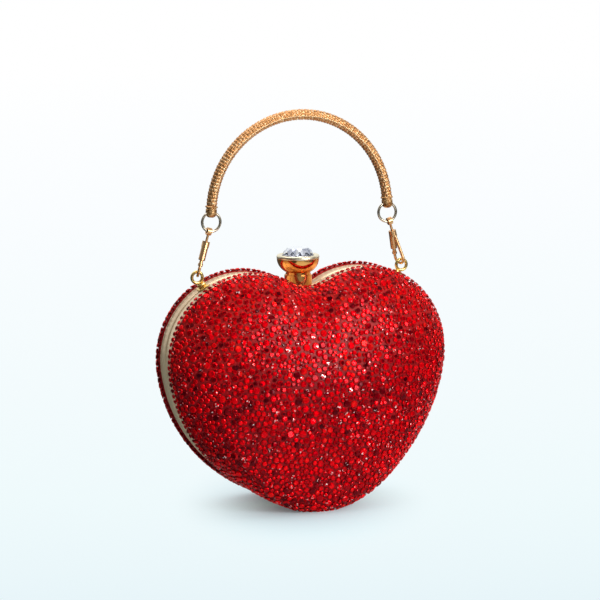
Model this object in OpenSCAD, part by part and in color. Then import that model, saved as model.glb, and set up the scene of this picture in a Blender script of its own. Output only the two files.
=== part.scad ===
// Heart shaped evening purse: two domed half shells covered in crystals, hinged at the tip,
// closed by a push-button clasp in the cleft, and carried by an arched handle on two snap hooks.
// The front faces -Y, +Z is up, and the purse stands on the flats of its crystal covering.

/* [Heart outline] */
// Width of the frame across the lobes
frame_w = 160; // [152:1:168]
// Radius of each round lobe
lobe_r = 46; // [43:0.5:49]
// Radius of the long side below each lobe
side_r = 85; // [80:1:95]
// Radius of the rounded tip
tip_r = 28; // [24:0.5:32]
// Radius of the cleft between the lobes
cleft_r = 14; // [12:0.5:17]
// Height of the lobe centres above the crown of each dome
lobe_rise = 41; // [38:0.5:44]

/* [Half shells] */
// Depth of each domed half beyond its frame
dome_h = 28; // [22:0.5:34]
// Wall of each half shell
shell_t = 1.2; // [0.8:0.1:1.5]
// How far the crystals stand out of the shell
stone_t = 2.2; // [1.8:0.1:2.8]
// Height of the points of the crystals above the grooves between them
stone_relief = 0.4; // [0.2:0.05:0.6]
// Depth of the flat that the crystal covering stands on
stand_cut = 1; // [0.6:0.1:1.2]
// Thickness of the satin lining
lining_t = 0.8; // [0.5:0.1:1.2]

/* [Frame] */
// Width of each frame half from front to back
frame_d = 8; // [7:0.1:9.5]
// Thickness of the frame's outer band
frame_t = 1.6; // [1.6:0.1:2.2]
// Gap along the parting line between the two frame halves
seam_gap = 0.3; // [0.2:0.05:0.4]
// Reach of the inner ledge that the lining is glued to
ledge_w = 2.4; // [2:0.1:3.5]
// Thickness of that ledge
ledge_t = 1; // [0.8:0.1:1.5]

/* [Tip hinge] */
// Length of the hinge along its pin
hinge_w = 13; // [11:0.5:16]
// Radius of the hinge knuckles
knuckle_r = 1.9; // [1.6:0.1:2.2]
// Radius of the hinge pin
hinge_pin_r = 0.8; // [0.6:0.05:1]
// Depth of each hinge leaf from the parting line
leaf_d = 5; // [4:0.1:5.8]
// Thickness of each hinge leaf
leaf_t = 1.3; // [1:0.1:1.5]

/* [Clasp] */
// Radius of the collar that the button slides in
collar_r = 7.6; // [7.2:0.1:8.4]
// Height of the collar above the bottom of the cleft
collar_h = 8.2; // [7.8:0.1:9]
// Radius of the button's neck
neck_r = 6.8; // [6.4:0.1:6.9]
// Radius of the button's rim
rim_r = 11.7; // [11:0.1:12.6]
// Height of the button's flared bowl
bowl_h = 7.4; // [6.8:0.1:8.4]
// Height of the bezel that holds the crystal
bezel_h = 2; // [1.8:0.1:2.6]
// Radius of the crystal's flat top
table_r = 4.4; // [3.6:0.1:5.2]
// Height of the crystal above the groove that holds it
crown_h = 4.3; // [3.6:0.1:5.2]
// Travel of the button when it is pressed
press = 1; // [0.8:0.1:1.3]
// Distance of the clasp's centre behind the parting line
clasp_y = 4.5; // [4:0.1:5]
// Radius of the button's stem
stem_r = 1.5; // [1.2:0.1:1.7]

/* [Eyelets and snap hooks] */
// Direction of each eyelet from the centre of its lobe (degrees above level)
eyelet_angle = 59.6; // [55:0.2:64]
// Height of the eyelet's centre above the frame
eyelet_lift = 6.8; // [6.4:0.1:7.6]
// Radius of the eyelet to the middle of its wire
eyelet_r = 2.9; // [2.8:0.05:3.2]
// Thickness of the eyelet's wire
eyelet_wire = 1.7; // [1.5:0.05:1.8]
// Distance of the eyelets, snaps and handle behind the parting line
chain_y = 1; // [0.8:0.1:1.5]
// Length of each snap hook between the eyelet's wire and the jump ring's wire
snap_len = 23; // [22.5:0.1:25]
// Inward lean of each snap hook (degrees)
snap_lean = 15.8; // [12:0.2:18]
// Radius of the hook's bend to the middle of its wire
hook_r = 3; // [2.9:0.05:3.2]
// Thickness of the hook's wire
hook_wire = 1.5; // [1.3:0.05:1.6]
// Thickness of the snap's barrel
barrel_d = 3.7; // [3.5:0.1:4]
// Length of the snap's barrel
barrel_len = 9.6; // [9.2:0.1:10]
// Turn of the left hook about its length, from square to the frame (degrees)
left_hook_turn = 22.4; // [0:0.2:24]
// Turn of the right hook about its length (degrees)
right_hook_turn = 157.6; // [156:0.2:180]
// Radius of each jump ring to the middle of its wire
ring_r = 5.25; // [5:0.05:5.6]
// Thickness of each jump ring's wire
ring_wire = 1.5; // [1.3:0.05:1.6]

/* [Handle] */
// Thickness of the handle's sleeve
grip_d = 6.2; // [5.8:0.1:7]
// Wall of the sleeve
sleeve_t = 0.6; // [0.4:0.05:0.8]
// Angle above level at which the arch ends in its caps (degrees)
arch_end = 5; // [2:0.5:9]
// Length of each end cap
cap_len = 6.3; // [6:0.1:7.5]
// Radius of each end cap
cap_r = 3.05; // [2.95:0.05:3.4]

/* [Hidden] */

// How much further every cut reaches than the body it cuts
over = 1;
// Free space between pieces that move on each other
play = 0.3;
// Free space round a turned piece in its bore
fit = 0.1;
$fn = 48;

// Shares and angles that shape the heart and its domes
side_turn = -7.5;
crown_share = 0.88;
dome_fullness_share = 2.8;
dome_blend_share = 2.4;
ring_crowding_share = 1.5;
ray_warp_share = 0.4;

// Counts of the surface grids: rays round the heart, rings from crown to frame
ray_count = 48;
ring_count = 7;
fine_count = 2;
// Rings next to the crown that stay smooth on a faceted surface
smooth_ring_count = 2;

// Centres of the arcs that make the heart, about the crown of the domes
lobe_x = frame_w / 2 - lobe_r;
lobe_c = [lobe_x, lobe_rise];
side_c = lobe_c - (side_r - lobe_r) * [cos(side_turn), sin(side_turn)];
tip_c = [0, side_c.y - sqrt(pow(side_r - tip_r, 2) - pow(side_c.x, 2))];
cleft_c = [0, lobe_rise + sqrt(pow(lobe_r + cleft_r, 2) - pow(lobe_x, 2))];

// Directions in which one arc of the outline gives way to the next
function direction(p) = atan2(p.y, p.x);
cleft_angle = direction(cleft_c + (lobe_c - cleft_c) * cleft_r / (lobe_r + cleft_r));
side_angle = direction(lobe_c + lobe_r * [cos(side_turn), sin(side_turn)]);
tip_angle = direction(tip_c + tip_r * (tip_c - side_c) / norm(tip_c - side_c));

// Distance along the unit ray u to the near (-1) or far (1) side of a circle
function ray_hit(u, c, r, side) =
    let (along = u * c, across = u.x * c.y - u.y * c.x)
    along + side * sqrt(max(r * r - across * across, 0));

// Radius of the heart in direction a, with its outline moved out by d
function heart_r(a, d) =
    let (u = [abs(cos(a)), sin(a)], turn = direction(u))
    turn > cleft_angle ? ray_hit(u, cleft_c, cleft_r - d, -1)
    : turn > side_angle ? ray_hit(u, lobe_c, lobe_r + d, 1)
    : turn > tip_angle ? ray_hit(u, side_c, side_r + d, 1)
    : ray_hit(u, tip_c, tip_r + d, 1);

// Direction of ray i of n, closer together at the cleft
function ray_angle(i, n) = let (t = 360 * i / n) 90 + t - ray_warp_share * sin(t) * 180 / PI;

// A dome's polar angle from crown (0) to frame (90) at ring j of m
function ring_angle(j, m) = 90 * pow(j / m, ring_crowding_share);

// Radius of a dome at direction a and polar angle t, with its surface moved out by d:
// circles at the crown that turn into the heart at the frame
function dome_r(a, t, d) =
    let (s = pow(sin(t), 2 / dome_fullness_share), w = pow(s, dome_blend_share))
    s * ((1 - w) * (crown_share * frame_w / 2 + d) + w * heart_r(a, d));

// Places along the height
lowest = min([for (j = [1:fine_count * ring_count], i = [0:fine_count * ray_count - 1])
    let (a = ray_angle(i, fine_count * ray_count), t = ring_angle(j, fine_count * ring_count))
    dome_r(a, t, stone_t) * sin(a)]);
crown_z = -lowest - stand_cut;
tip_z = crown_z + tip_c.y - tip_r;
cleft_z = crown_z + cleft_c.y - cleft_r;
half_w = seam_gap / 2 + frame_d;

// Parting groove along the seam
groove_w = 0.5;
groove_d = 0.4;

// Hinge
hinge_rise = 0.4;
hinge_z = tip_z + hinge_rise;
knuckle_gap = 0.15;
leaf_seam = 0.3;
knuckle_share = 0.4;

// Lining and its glue gap inside the shell
lining_gap = 0.3;
liner_in = shell_t + lining_gap;

// Clasp: levels above the bottom of the cleft
collar_floor = 3.4;
collar_lip = 0.4;
button_gap = press + play;
neck_guide = 2.4;
neck_wall = 1.1;
bowl_floor = 1.6;
bowl_wall = 1;
girdle_in = 2.8;
bezel_lip = 0.5;
bezel_seat = 0.5;
crystal_sides = 12;
crown_break_share = 0.63;
crown_waist_share = 0.84;
pavilion_h = 3.6;
culet_r = 2.4;
bowl_z = collar_h + button_gap;
bezel_z = cleft_z + bowl_z + bowl_h;
spring_wire = 1.2;
spring_h = bowl_z - press - collar_floor - 2 * fit;
bowl_curve_share = 1.5;
bowl_step_count = 12;

// Latch under the frame
catch_w = 8;
catch_t = 1.5;
catch_lip_t = 1.2;
catch_lip_h = 2.2;
catch_reach = 0.7;
catch_in = 7;
latch_nose_t = 1;
latch_nose_h = 1.5;
latch_arm_t = 1.5;
rivet_r = 0.6;
rivet_x = 2.6;
rivet_y = 5;
band_low = cleft_z - frame_t;
lip_low = band_low - catch_t - catch_lip_h;
nose_top = lip_low - play;

// Eyelets, snaps and jump rings, about the eyelet's centre on the right
eyelet_c = lobe_c + (lobe_r + eyelet_lift) * [cos(eyelet_angle), sin(eyelet_angle)] + [0, crown_z];
saddle_l = 7;
saddle_w = 6.6;
saddle_t = 2.2;
post_r = 1.1;
lean_dir = [-sin(snap_lean), cos(snap_lean)];
hook_c = eyelet_c + eyelet_r * lean_dir;
eye_c = hook_c + snap_len * lean_dir;
ring_c = eye_c + ring_r * lean_dir;
hook_level = hook_r - hook_wire / 2 - eyelet_wire / 2 - play;
hook_tip = 1.1;
gate_z = hook_level + hook_tip;
gate_gap = 0.3;
eye_or = 2.1;
eye_ir = 1.25;
eye_w = 2.4;
eye_neck = 3.5;
head_r = 2.1;
head_h = 3.4;
head_to = snap_len - eye_or - eye_neck;
head_from = head_to - head_h;
cross_rise = 1.6;
barrel_lean = atan2(hook_r, head_to + cross_rise - gate_z);
barrel_from = 4.9;
arm_r = 0.85;
arm_in = 1;
arm_rise = 2;
post_top_skin = 0.2;
swivel_r = 0.7;
rivet_head_r = 1.05;
rivet_head_h = 1.1;
head_lid = 1.5;
chamber_h = 1.5;
chamber_to = head_to - head_lid;
chamber_from = chamber_to - chamber_h;
bolt_travel = 1.9;
bolt_tip_r = 0.8;
bolt_bead_r = 1.35;
bolt_bead_from = 1.6;
bolt_bead_to = 2.9;
bolt_tail_r = 1;
bore_wall = 0.7;
bore_end = (chamber_from - gate_z) / cos(barrel_lean) - bore_wall;
bolt_spring_len = 1.1;
bolt_spring_wall = 0.4;
bolt_end = bore_end - bolt_spring_len - bolt_travel - fit;

// Handle: the arch is centred so that its ends run into the caps
cap_hole = [ring_c.x, ring_c.y + ring_r];
cap_below = 2.7;
cap_above = cap_len - cap_below;
arch_r = (cap_hole.x - cap_above * sin(arch_end)) / cos(arch_end);
arch_c = [0, cap_hole.y + cap_above * cos(arch_end) - arch_r * sin(arch_end)];
cap_bore_r = 1.5;
cap_bottom_r = 1.6;
cap_round = 1.5;
bead_h = 1.2;
bead_out = 0.4;
cap_groove_w = 0.4;
cap_groove_d = 0.25;
socket_d = 1.3;
core_gap = 0.1;

// An upright plate from y0 to y1, whose outline is drawn across and up
module plate_y(y0, y1) {
    translate([0, y1, 0]) rotate([90, 0, 0]) linear_extrude(height = y1 - y0) children();
}

// The heart with its outline moved out by d
module heart(d) {
    polygon([for (i = [0:fine_count * ray_count - 1])
        let (a = ray_angle(i, fine_count * ray_count)) heart_r(a, d) * [cos(a), sin(a)] + [0, crown_z]]);
}

// A hoop of the outline between two offsets
module hoop(d_out, d_in, y0, y1) {
    plate_y(y0, y1) difference() {
        heart(d_out);
        heart(d_in);
    }
}

// A torus round the Y axis
module torus_y(r, wire_r) {
    rotate([90, 0, 0]) rotate_extrude() translate([r, 0]) circle(r = wire_r);
}

// A round bar between two points of the plane y = 0
module rod(a, b, r) {
    translate([a.x, 0, a.y]) rotate([0, direction([b.y - a.y, b.x - a.x]), 0])
        cylinder(h = norm(b - a), r = r);
}

module mirrored_if(yes) {
    if (yes) mirror([1, 0, 0]) children();
    else children();
}

module front_side() {
    mirror([0, 1, 0]) children();
}

// Points of one domed surface: its crown, then each ring of rays.
// Every other point of a faceted surface lies lower by the relief, and none lies below the floor.
function dome_points(n, m, d, relief) = concat(
    [[0, half_w + dome_h + d, crown_z]],
    [for (j = [1:m], i = [0:n - 1])
        let (a = ray_angle(i, n), t = ring_angle(j, m),
             dip = j > smooth_ring_count ? relief * ((i + j) % 2) : 0,
             r = dome_r(a, t, d - dip))
        [r * cos(a), half_w + (dome_h + d - dip) * cos(t), max(crown_z + r * sin(a), 0)]]);

// Faces of that surface, whose points start at k
function dome_faces(n, m, k) = concat(
    [for (i = [0:n - 1]) [k, k + 1 + i, k + 1 + (i + 1) % n]],
    [for (j = [1:m - 1], i = [0:n - 1])
        let (a = k + 1 + (j - 1) * n + i, b = k + 1 + (j - 1) * n + (i + 1) % n, c = b + n, e = a + n)
        for (f = (i + j) % 2 == 0 ? [[a, e, b], [b, e, c]] : [[a, e, c], [a, c, b]]) f]);

function flipped(faces) = [for (f = faces) [f[0], f[2], f[1]]];

// Faces of the flat edge between an outer rim with step points to each inner one
function edge_faces(n, outer, inner, step) = [for (i = [0:n - 1])
    let (near = inner + i, next = inner + (i + 1) % n, first = step * i)
    for (f = concat(
        [for (q = [0:step - 1])
            [outer + first + q, q < step / 2 ? near : next, outer + (first + q + 1) % (step * n)]],
        [[outer + (first + ceil(step / 2)) % (step * n), near, next]])) f];

// The rear half's domed layer between two offsets; the outer surface may be finer and faceted
module dome_layer(d_out, d_in, step, relief) {
    n_out = step * ray_count;
    m_out = step * ring_count;
    outer = dome_points(n_out, m_out, d_out, relief);
    inner = dome_points(ray_count, ring_count, d_in, 0);
    k = len(outer);
    polyhedron(concat(outer, inner), concat(
        dome_faces(n_out, m_out, 0),
        flipped(dome_faces(ray_count, ring_count, k)),
        edge_faces(ray_count, 1 + (m_out - 1) * n_out, k + 1 + (ring_count - 1) * ray_count, step)));
}

// One half of the frame: band, parting groove and inner ledge, opened for the hinge
module frame_half() {
    edge = seam_gap / 2 + groove_w;
    difference() {
        union() {
            hoop(0, -frame_t, edge, half_w);
            hoop(-groove_d, -frame_t, seam_gap / 2, edge + over / 2);
            hoop(-frame_t / 2, -frame_t - ledge_w, half_w - ledge_t, half_w);
        }
        translate([-hinge_w / 2 - fit, -over, tip_z - over])
            cube([hinge_w + 2 * fit, leaf_d + fit + over, frame_t + 3 * over]);
    }
}

module rear_frame() {
    color("#bfae8c") difference() {
        frame_half();
        translate([0, clasp_y, band_low - over])
            cylinder(r = stem_r + play, h = frame_t + 3 * over);
    }
}

module front_frame() {
    color("#bfae8c") difference() {
        front_side() frame_half();
        rivet_places() cylinder(r = rivet_r, h = frame_t + catch_t + 3 * over);
    }
}

module rear_shell() {
    color("#8d8a86") dome_layer(0, -shell_t, 1, 0);
}

module front_shell() {
    front_side() rear_shell();
}

module rear_stone_bed() {
    color("#c2001c") dome_layer(stone_t, 0, fine_count, stone_relief);
}

module front_stone_bed() {
    front_side() rear_stone_bed();
}

module rear_lining() {
    color("#d9c7a0") dome_layer(-liner_in, -liner_in - lining_t, 1, 0);
}

module front_lining() {
    front_side() rear_lining();
}

// A stretch of the hinge between two places along the pin
module hinge_stretch(x0, x1, r) {
    translate([x0, 0, hinge_z]) rotate([0, 90, 0]) cylinder(r = r, h = x1 - x0);
}

// The leaf plate behind the seam
module leaf_plate() {
    translate([-hinge_w / 2, leaf_seam, hinge_z]) cube([hinge_w, leaf_d - leaf_seam, leaf_t]);
}

module rear_hinge_leaf() {
    mid = knuckle_share * hinge_w / 2;
    color("#c9b27c") difference() {
        union() {
            leaf_plate();
            for (s = [0, 1]) mirrored_if(s == 1) hinge_stretch(mid + knuckle_gap, hinge_w / 2, knuckle_r);
        }
        hinge_stretch(-hinge_w / 2 - over, hinge_w / 2 + over, hinge_pin_r);
        hinge_stretch(-mid - knuckle_gap, mid + knuckle_gap, knuckle_r + play);
    }
}

module front_hinge_leaf() {
    mid = knuckle_share * hinge_w / 2;
    color("#c9b27c") difference() {
        union() {
            front_side() leaf_plate();
            hinge_stretch(-mid, mid, knuckle_r);
        }
        hinge_stretch(-hinge_w / 2 - over, hinge_w / 2 + over, hinge_pin_r + fit / 2);
        for (s = [0, 1]) mirrored_if(s == 1) hinge_stretch(mid, hinge_w / 2 + over, knuckle_r + play);
    }
}

module hinge_pin() {
    color("#a9a9a9") hinge_stretch(-hinge_w / 2, hinge_w / 2, hinge_pin_r);
}

// What the frame and the crystals leave free above them: the front half needs a gap to swing out
module above_frame() {
    plate_y(-half_w - over, seam_gap / 2) heart(play);
    plate_y(seam_gap / 2 - over / 2, half_w + play) heart(0);
    plate_y(half_w - play, half_w + dome_h) heart(stone_t + play);
}

// Saddle, post and ring that the snap hook clips to
module eyelet() {
    difference() {
        translate([lobe_c.x, chain_y, lobe_c.y + crown_z]) rotate([0, 90 - eyelet_angle, 0])
            translate([-saddle_l / 2, -saddle_w / 2, lobe_r - over])
                cube([saddle_l, saddle_w, saddle_t + over]);
        above_frame();
    }
    translate([lobe_c.x, chain_y, lobe_c.y + crown_z]) rotate([0, 90 - eyelet_angle, 0])
        translate([0, 0, lobe_r + saddle_t - over])
            cylinder(r = post_r, h = eyelet_lift - eyelet_r - saddle_t + over);
    translate([eyelet_c.x, chain_y, eyelet_c.y]) torus_y(eyelet_r, eyelet_wire / 2);
}

module left_eyelet() {
    color("#d8b676") mirror([1, 0, 0]) eyelet();
}

module right_eyelet() {
    color("#d8b676") eyelet();
}

// Moves a piece drawn about the clasp's axis, at heights above the bottom of the cleft
module at_clasp() {
    translate([0, clasp_y, cleft_z]) children();
}

module clasp_collar() {
    rise = collar_h - collar_floor;
    color("#e0a860") difference() {
        at_clasp() difference() {
            translate([0, 0, -over]) cylinder(r = collar_r, h = collar_h + over);
            translate([0, 0, collar_floor]) cylinder(r = neck_r + fit, h = rise + over);
            translate([0, 0, -2 * over]) cylinder(r = stem_r + play, h = collar_floor + 3 * over);
            translate([0, 0, collar_h - collar_lip]) difference() {
                cylinder(r = collar_r + over, h = collar_lip + over);
                translate([0, 0, -over]) cylinder(r = collar_r - collar_lip, h = collar_lip + 3 * over);
            }
        }
        above_frame();
    }
}

// The spring at its pressed length, on the floor of the collar
module button_spring() {
    r = neck_r - neck_wall - play;
    color("#b8b8b8") at_clasp() translate([0, 0, collar_floor]) difference() {
        cylinder(r = r, h = spring_h);
        translate([0, 0, -over]) cylinder(r = r - spring_wire, h = spring_h + 2 * over);
    }
}

// The goblet shaped button: neck in the collar, flared bowl above it
module button_cup() {
    foot = collar_h - neck_guide;
    side = [for (i = [0:bowl_step_count]) let (s = i / bowl_step_count)
        [neck_r + (rim_r - neck_r) * (1 - pow(1 - s, bowl_curve_share)), bowl_z + bowl_h * s]];
    cup_r = rim_r - bowl_wall;
    color("#e0a860") at_clasp() rotate_extrude() polygon(concat(
        [[stem_r, bowl_z], [neck_r - neck_wall, bowl_z], [neck_r - neck_wall, foot], [neck_r, foot]],
        side,
        [[cup_r, bowl_z + bowl_h], [culet_r + bowl_wall, bowl_z + bowl_floor],
         [stem_r, bowl_z + bowl_floor]]));
}

// Ring on the bowl whose groove holds the crystal's girdle
module crystal_bezel() {
    girdle_r = rim_r - girdle_in;
    color("#f0e2c0") translate([0, clasp_y, bezel_z]) rotate_extrude() polygon([
        [girdle_r - bezel_lip, 0], [rim_r, 0], [rim_r, bezel_h - bezel_lip], [rim_r - bezel_lip, bezel_h],
        [girdle_r - bezel_lip, bezel_h], [girdle_r - bezel_lip, bezel_h - bezel_lip],
        [girdle_r + fit, bezel_h - bezel_lip], [girdle_r + fit, bezel_seat],
        [girdle_r - bezel_lip, bezel_seat]]);
}

// One tapered or straight row of the crystal's facets, between two heights
module facet_row(z0, z1, r0, r1) {
    translate([0, 0, z0]) rotate([0, 0, 180 / crystal_sides])
        cylinder(r1 = r0, r2 = r1, h = z1 - z0, $fn = crystal_sides);
}

// Brilliant-cut glass: pavilion in the bowl, girdle, two rows of crown facets and a flat table
module clasp_crystal() {
    girdle_r = rim_r - girdle_in;
    girdle_z = bezel_h - bezel_lip;
    crown_r = girdle_r - bezel_lip - fit;
    waist_r = crown_waist_share * girdle_r;
    waist_z = girdle_z + crown_break_share * crown_h;
    color("#e8eef4", 0.6) translate([0, clasp_y, bezel_z]) {
        facet_row(-pavilion_h, bezel_seat, culet_r, crown_r);
        facet_row(bezel_seat, girdle_z, girdle_r, girdle_r);
        facet_row(girdle_z, waist_z, crown_r, waist_r);
        facet_row(waist_z, girdle_z + crown_h, waist_r, table_r);
    }
}

// Stem from the bowl through collar and frame, with the latch's upturned nose at its foot
module latch_stem() {
    top = cleft_z + bowl_z + bowl_floor;
    foot = nose_top - latch_nose_h - latch_arm_t;
    nose_y = seam_gap / 2 + catch_reach - catch_lip_t - play - latch_nose_t;
    color("#c9c2b4") {
        translate([0, clasp_y, foot]) cylinder(r = stem_r, h = top - foot);
        translate([-stem_r, nose_y, foot]) cube([2 * stem_r, clasp_y - nose_y, latch_arm_t]);
        translate([-stem_r, nose_y, foot]) cube([2 * stem_r, latch_nose_t, nose_top - foot]);
    }
}

// The front half's catch: a plate under its band, and a lip that reaches behind the seam
module catch_plate() {
    lip_y = seam_gap / 2 + catch_reach - catch_lip_t;
    color("#c9b27c") difference() {
        union() {
            intersection() {
                translate([-catch_w / 2, -catch_in, band_low - catch_t])
                    cube([catch_w, catch_in - seam_gap / 2, catch_t + frame_t]);
                plate_y(-half_w, 0) heart(-frame_t);
            }
            intersection() {
                translate([-catch_w / 2, lip_y, lip_low])
                    cube([catch_w, catch_lip_t, catch_lip_h + catch_t]);
                plate_y(-half_w, half_w) heart(-frame_t - play);
            }
        }
        rivet_places() cylinder(r = rivet_r, h = frame_t + catch_t + 3 * over);
    }
}

// Stands its children at both catch rivets, below the catch plate
module rivet_places() {
    for (x = [-rivet_x, rivet_x]) translate([x, -rivet_y, band_low - catch_t - over]) children();
}

module catch_rivets() {
    color("#bfae8c") intersection() {
        rivet_places() translate([0, 0, over]) cylinder(r = rivet_r, h = frame_t + catch_t + 2 * over);
        plate_y(-half_w, 0) heart(0);
    }
}

// Places a piece drawn about a snap's line: origin on the eyelet's wire, +Z along the snap
module at_snap(left) {
    mirrored_if(left) translate([hook_c.x, chain_y, hook_c.y]) rotate([0, -snap_lean, 0]) children();
}

// Places a piece drawn in the hook's own plane, arm on +X and barrel on -X
module at_hook(left) {
    at_snap(left) rotate([0, 0, left ? 90 + left_hook_turn : 90 - right_hook_turn]) children();
}

// Places a piece drawn about the barrel, with +Z from the gate up the barrel
module in_barrel() {
    translate([-hook_r, 0, gate_z]) rotate([0, barrel_lean, 0]) children();
}

// Eye for the jump ring, on a post whose rivet head turns in the hook's chamber
module snap_eye() {
    post_from = chamber_from + fit;
    post_to = snap_len - eye_ir - post_top_skin;
    difference() {
        union() {
            translate([-eye_w / 2, 0, snap_len]) rotate([0, 90, 0]) cylinder(r = eye_or, h = eye_w);
            translate([0, 0, post_from]) cylinder(r = swivel_r, h = post_to - post_from);
            translate([0, 0, post_from]) cylinder(r = rivet_head_r, h = rivet_head_h);
        }
        translate([-eye_w / 2 - over, 0, snap_len]) rotate([0, 90, 0])
            cylinder(r = eye_ir, h = eye_w + 2 * over);
    }
}

module left_snap_eye() {
    color("#d9b27a") at_snap(true) snap_eye();
}

module right_snap_eye() {
    color("#d9b27a") at_snap(false) snap_eye();
}

// Barrel, swivel head, arm and bend in one casting
module snap_hook() {
    difference() {
        union() {
            in_barrel() translate([0, 0, barrel_from]) cylinder(d = barrel_d, h = barrel_len);
            translate([0, 0, head_from]) cylinder(r = head_r, h = head_to - head_from);
            rod([hook_r, hook_level - play], [arm_in, head_from + arm_rise], arm_r);
            translate([0, 0, hook_level]) rotate([90, 0, 0]) rotate([0, 0, 180])
                rotate_extrude(angle = 180) translate([hook_r, 0]) circle(d = hook_wire);
            translate([-hook_r, 0, hook_level - play]) cylinder(r = bolt_tip_r, h = hook_tip + play);
        }
        in_barrel() translate([0, 0, barrel_from - over])
            cylinder(r = bolt_tail_r + fit, h = bore_end - barrel_from + over);
        translate([0, 0, chamber_from]) cylinder(r = rivet_head_r + 2 * fit, h = chamber_to - chamber_from);
        translate([0, 0, chamber_to - over / 2])
            cylinder(r = swivel_r + fit, h = snap_len - chamber_to);
    }
}

module left_snap_hook() {
    color("#d9a878") at_hook(true) snap_hook();
}

module right_snap_hook() {
    color("#d9a878") at_hook(false) snap_hook();
}

// Sliding bolt that closes the hook's gate
module snap_bolt() {
    in_barrel() {
        translate([0, 0, gate_gap]) cylinder(r = bolt_tip_r, h = bolt_bead_from);
        translate([0, 0, bolt_bead_from]) cylinder(r = bolt_bead_r, h = bolt_bead_to - bolt_bead_from);
        translate([0, 0, bolt_bead_to - fit]) cylinder(r = bolt_tail_r, h = bolt_end - bolt_bead_to + fit);
    }
}

module left_snap_bolt() {
    color("#cfa070") at_hook(true) snap_bolt();
}

module right_snap_bolt() {
    color("#cfa070") at_hook(false) snap_bolt();
}

// The bolt's spring at its pressed length, against the closed end of the bore
module snap_spring() {
    from = bore_end - bolt_spring_len;
    in_barrel() translate([0, 0, from]) difference() {
        cylinder(r = bolt_tail_r, h = bore_end - from);
        translate([0, 0, -over])
            cylinder(r = bolt_tail_r - bolt_spring_wall, h = bore_end - from + 2 * over);
    }
}

module left_snap_spring() {
    color("#b8b8b8") at_hook(true) snap_spring();
}

module right_snap_spring() {
    color("#b8b8b8") at_hook(false) snap_spring();
}

module jump_ring() {
    translate([0, 0, snap_len + ring_r]) torus_y(ring_r, ring_wire / 2);
}

module left_jump_ring() {
    color("#c8b89a") at_snap(true) jump_ring();
}

module right_jump_ring() {
    color("#c8b89a") at_snap(false) jump_ring();
}

// Turned cap with a bead, cross-bored on a curve for the jump ring, socketed for the core
module end_cap() {
    groove = cap_above - bead_h - cap_groove_w;
    difference() {
        translate([cap_hole.x, chain_y, cap_hole.y]) rotate([0, -arch_end, 0]) rotate_extrude() polygon([
            [0, -cap_below], [cap_bottom_r, -cap_below], [cap_r - cap_round / 3, cap_round / 2 - cap_below],
            [cap_r, cap_round - cap_below], [cap_r, groove - cap_groove_w], [cap_r - cap_groove_d, groove],
            [cap_r - cap_groove_d, groove + cap_groove_w], [cap_r + bead_out, groove + 2 * cap_groove_w],
            [cap_r + bead_out, cap_above - cap_groove_w], [cap_r, cap_above],
            [grip_d / 2 - sleeve_t, cap_above], [grip_d / 2 - sleeve_t, cap_above - socket_d],
            [0, cap_above - socket_d]]);
        translate([ring_c.x, chain_y, ring_c.y]) torus_y(ring_r, cap_bore_r);
    }
}

module left_end_cap() {
    color("#e0a860") mirror([1, 0, 0]) end_cap();
}

module right_end_cap() {
    color("#e0a860") end_cap();
}

// A stretch of the arch that ends at an angle above level, drawn with the section given
module arch(from_angle) {
    translate([arch_c.x, chain_y, arch_c.y]) rotate([90, 0, 0]) rotate([0, 0, from_angle])
        rotate_extrude(angle = 180 - 2 * from_angle) translate([arch_r, 0]) children();
}

module handle_sleeve() {
    color("#dba35c") arch(arch_end) difference() {
        circle(d = grip_d);
        circle(r = grip_d / 2 - sleeve_t);
    }
}

// Flexible core, which ends in the sockets of the caps
module handle_core() {
    into_cap = (socket_d - core_gap) / arch_r * 180 / PI;
    color("#8a8a8a") arch(arch_end - into_cap) circle(r = grip_d / 2 - sleeve_t - core_gap);
}

rear_frame();
rear_shell();
rear_stone_bed();
rear_lining();
rear_hinge_leaf();
hinge_pin();
left_eyelet();
right_eyelet();
clasp_collar();
button_spring();
front_frame();
front_shell();
front_stone_bed();
front_lining();
front_hinge_leaf();
catch_plate();
catch_rivets();
button_cup();
crystal_bezel();
clasp_crystal();
latch_stem();
left_snap_eye();
right_snap_eye();
left_snap_hook();
right_snap_hook();
left_snap_bolt();
right_snap_bolt();
left_snap_spring();
right_snap_spring();
left_jump_ring();
right_jump_ring();
left_end_cap();
right_end_cap();
handle_core();
handle_sleeve();
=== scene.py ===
# %% [markdown]
# # A heart shaped evening purse in red crystals
# A minaudiere is a small hard purse. This one is two domed metal shells that meet at a gold frame.
# Each shell is paved with red crystals. The metal parts were drawn in CAD and arrive here as fixed
# nodes. This script adds what a drawing leaves out: the stones, the polish, the woven handle and the light.

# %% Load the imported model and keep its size
import math

import bmesh
import bpy
import numpy as np
from mathutils import Matrix, Vector


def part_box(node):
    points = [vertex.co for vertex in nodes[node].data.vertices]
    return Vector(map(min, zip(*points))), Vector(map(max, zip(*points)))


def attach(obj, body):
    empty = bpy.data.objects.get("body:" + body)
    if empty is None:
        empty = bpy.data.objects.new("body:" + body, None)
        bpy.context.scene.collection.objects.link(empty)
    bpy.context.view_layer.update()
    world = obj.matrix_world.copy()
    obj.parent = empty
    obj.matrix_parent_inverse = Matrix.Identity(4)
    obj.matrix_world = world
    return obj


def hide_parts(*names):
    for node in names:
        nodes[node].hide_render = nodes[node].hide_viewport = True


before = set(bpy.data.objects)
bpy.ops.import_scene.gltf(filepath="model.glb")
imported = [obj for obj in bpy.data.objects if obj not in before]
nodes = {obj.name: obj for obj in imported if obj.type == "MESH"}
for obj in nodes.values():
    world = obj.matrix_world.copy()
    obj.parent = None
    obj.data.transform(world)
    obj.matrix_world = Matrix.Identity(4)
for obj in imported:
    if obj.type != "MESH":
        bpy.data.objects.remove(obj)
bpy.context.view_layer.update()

MM = 0.001
HALVES = ((-1, "front"), (1, "rear"))

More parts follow.
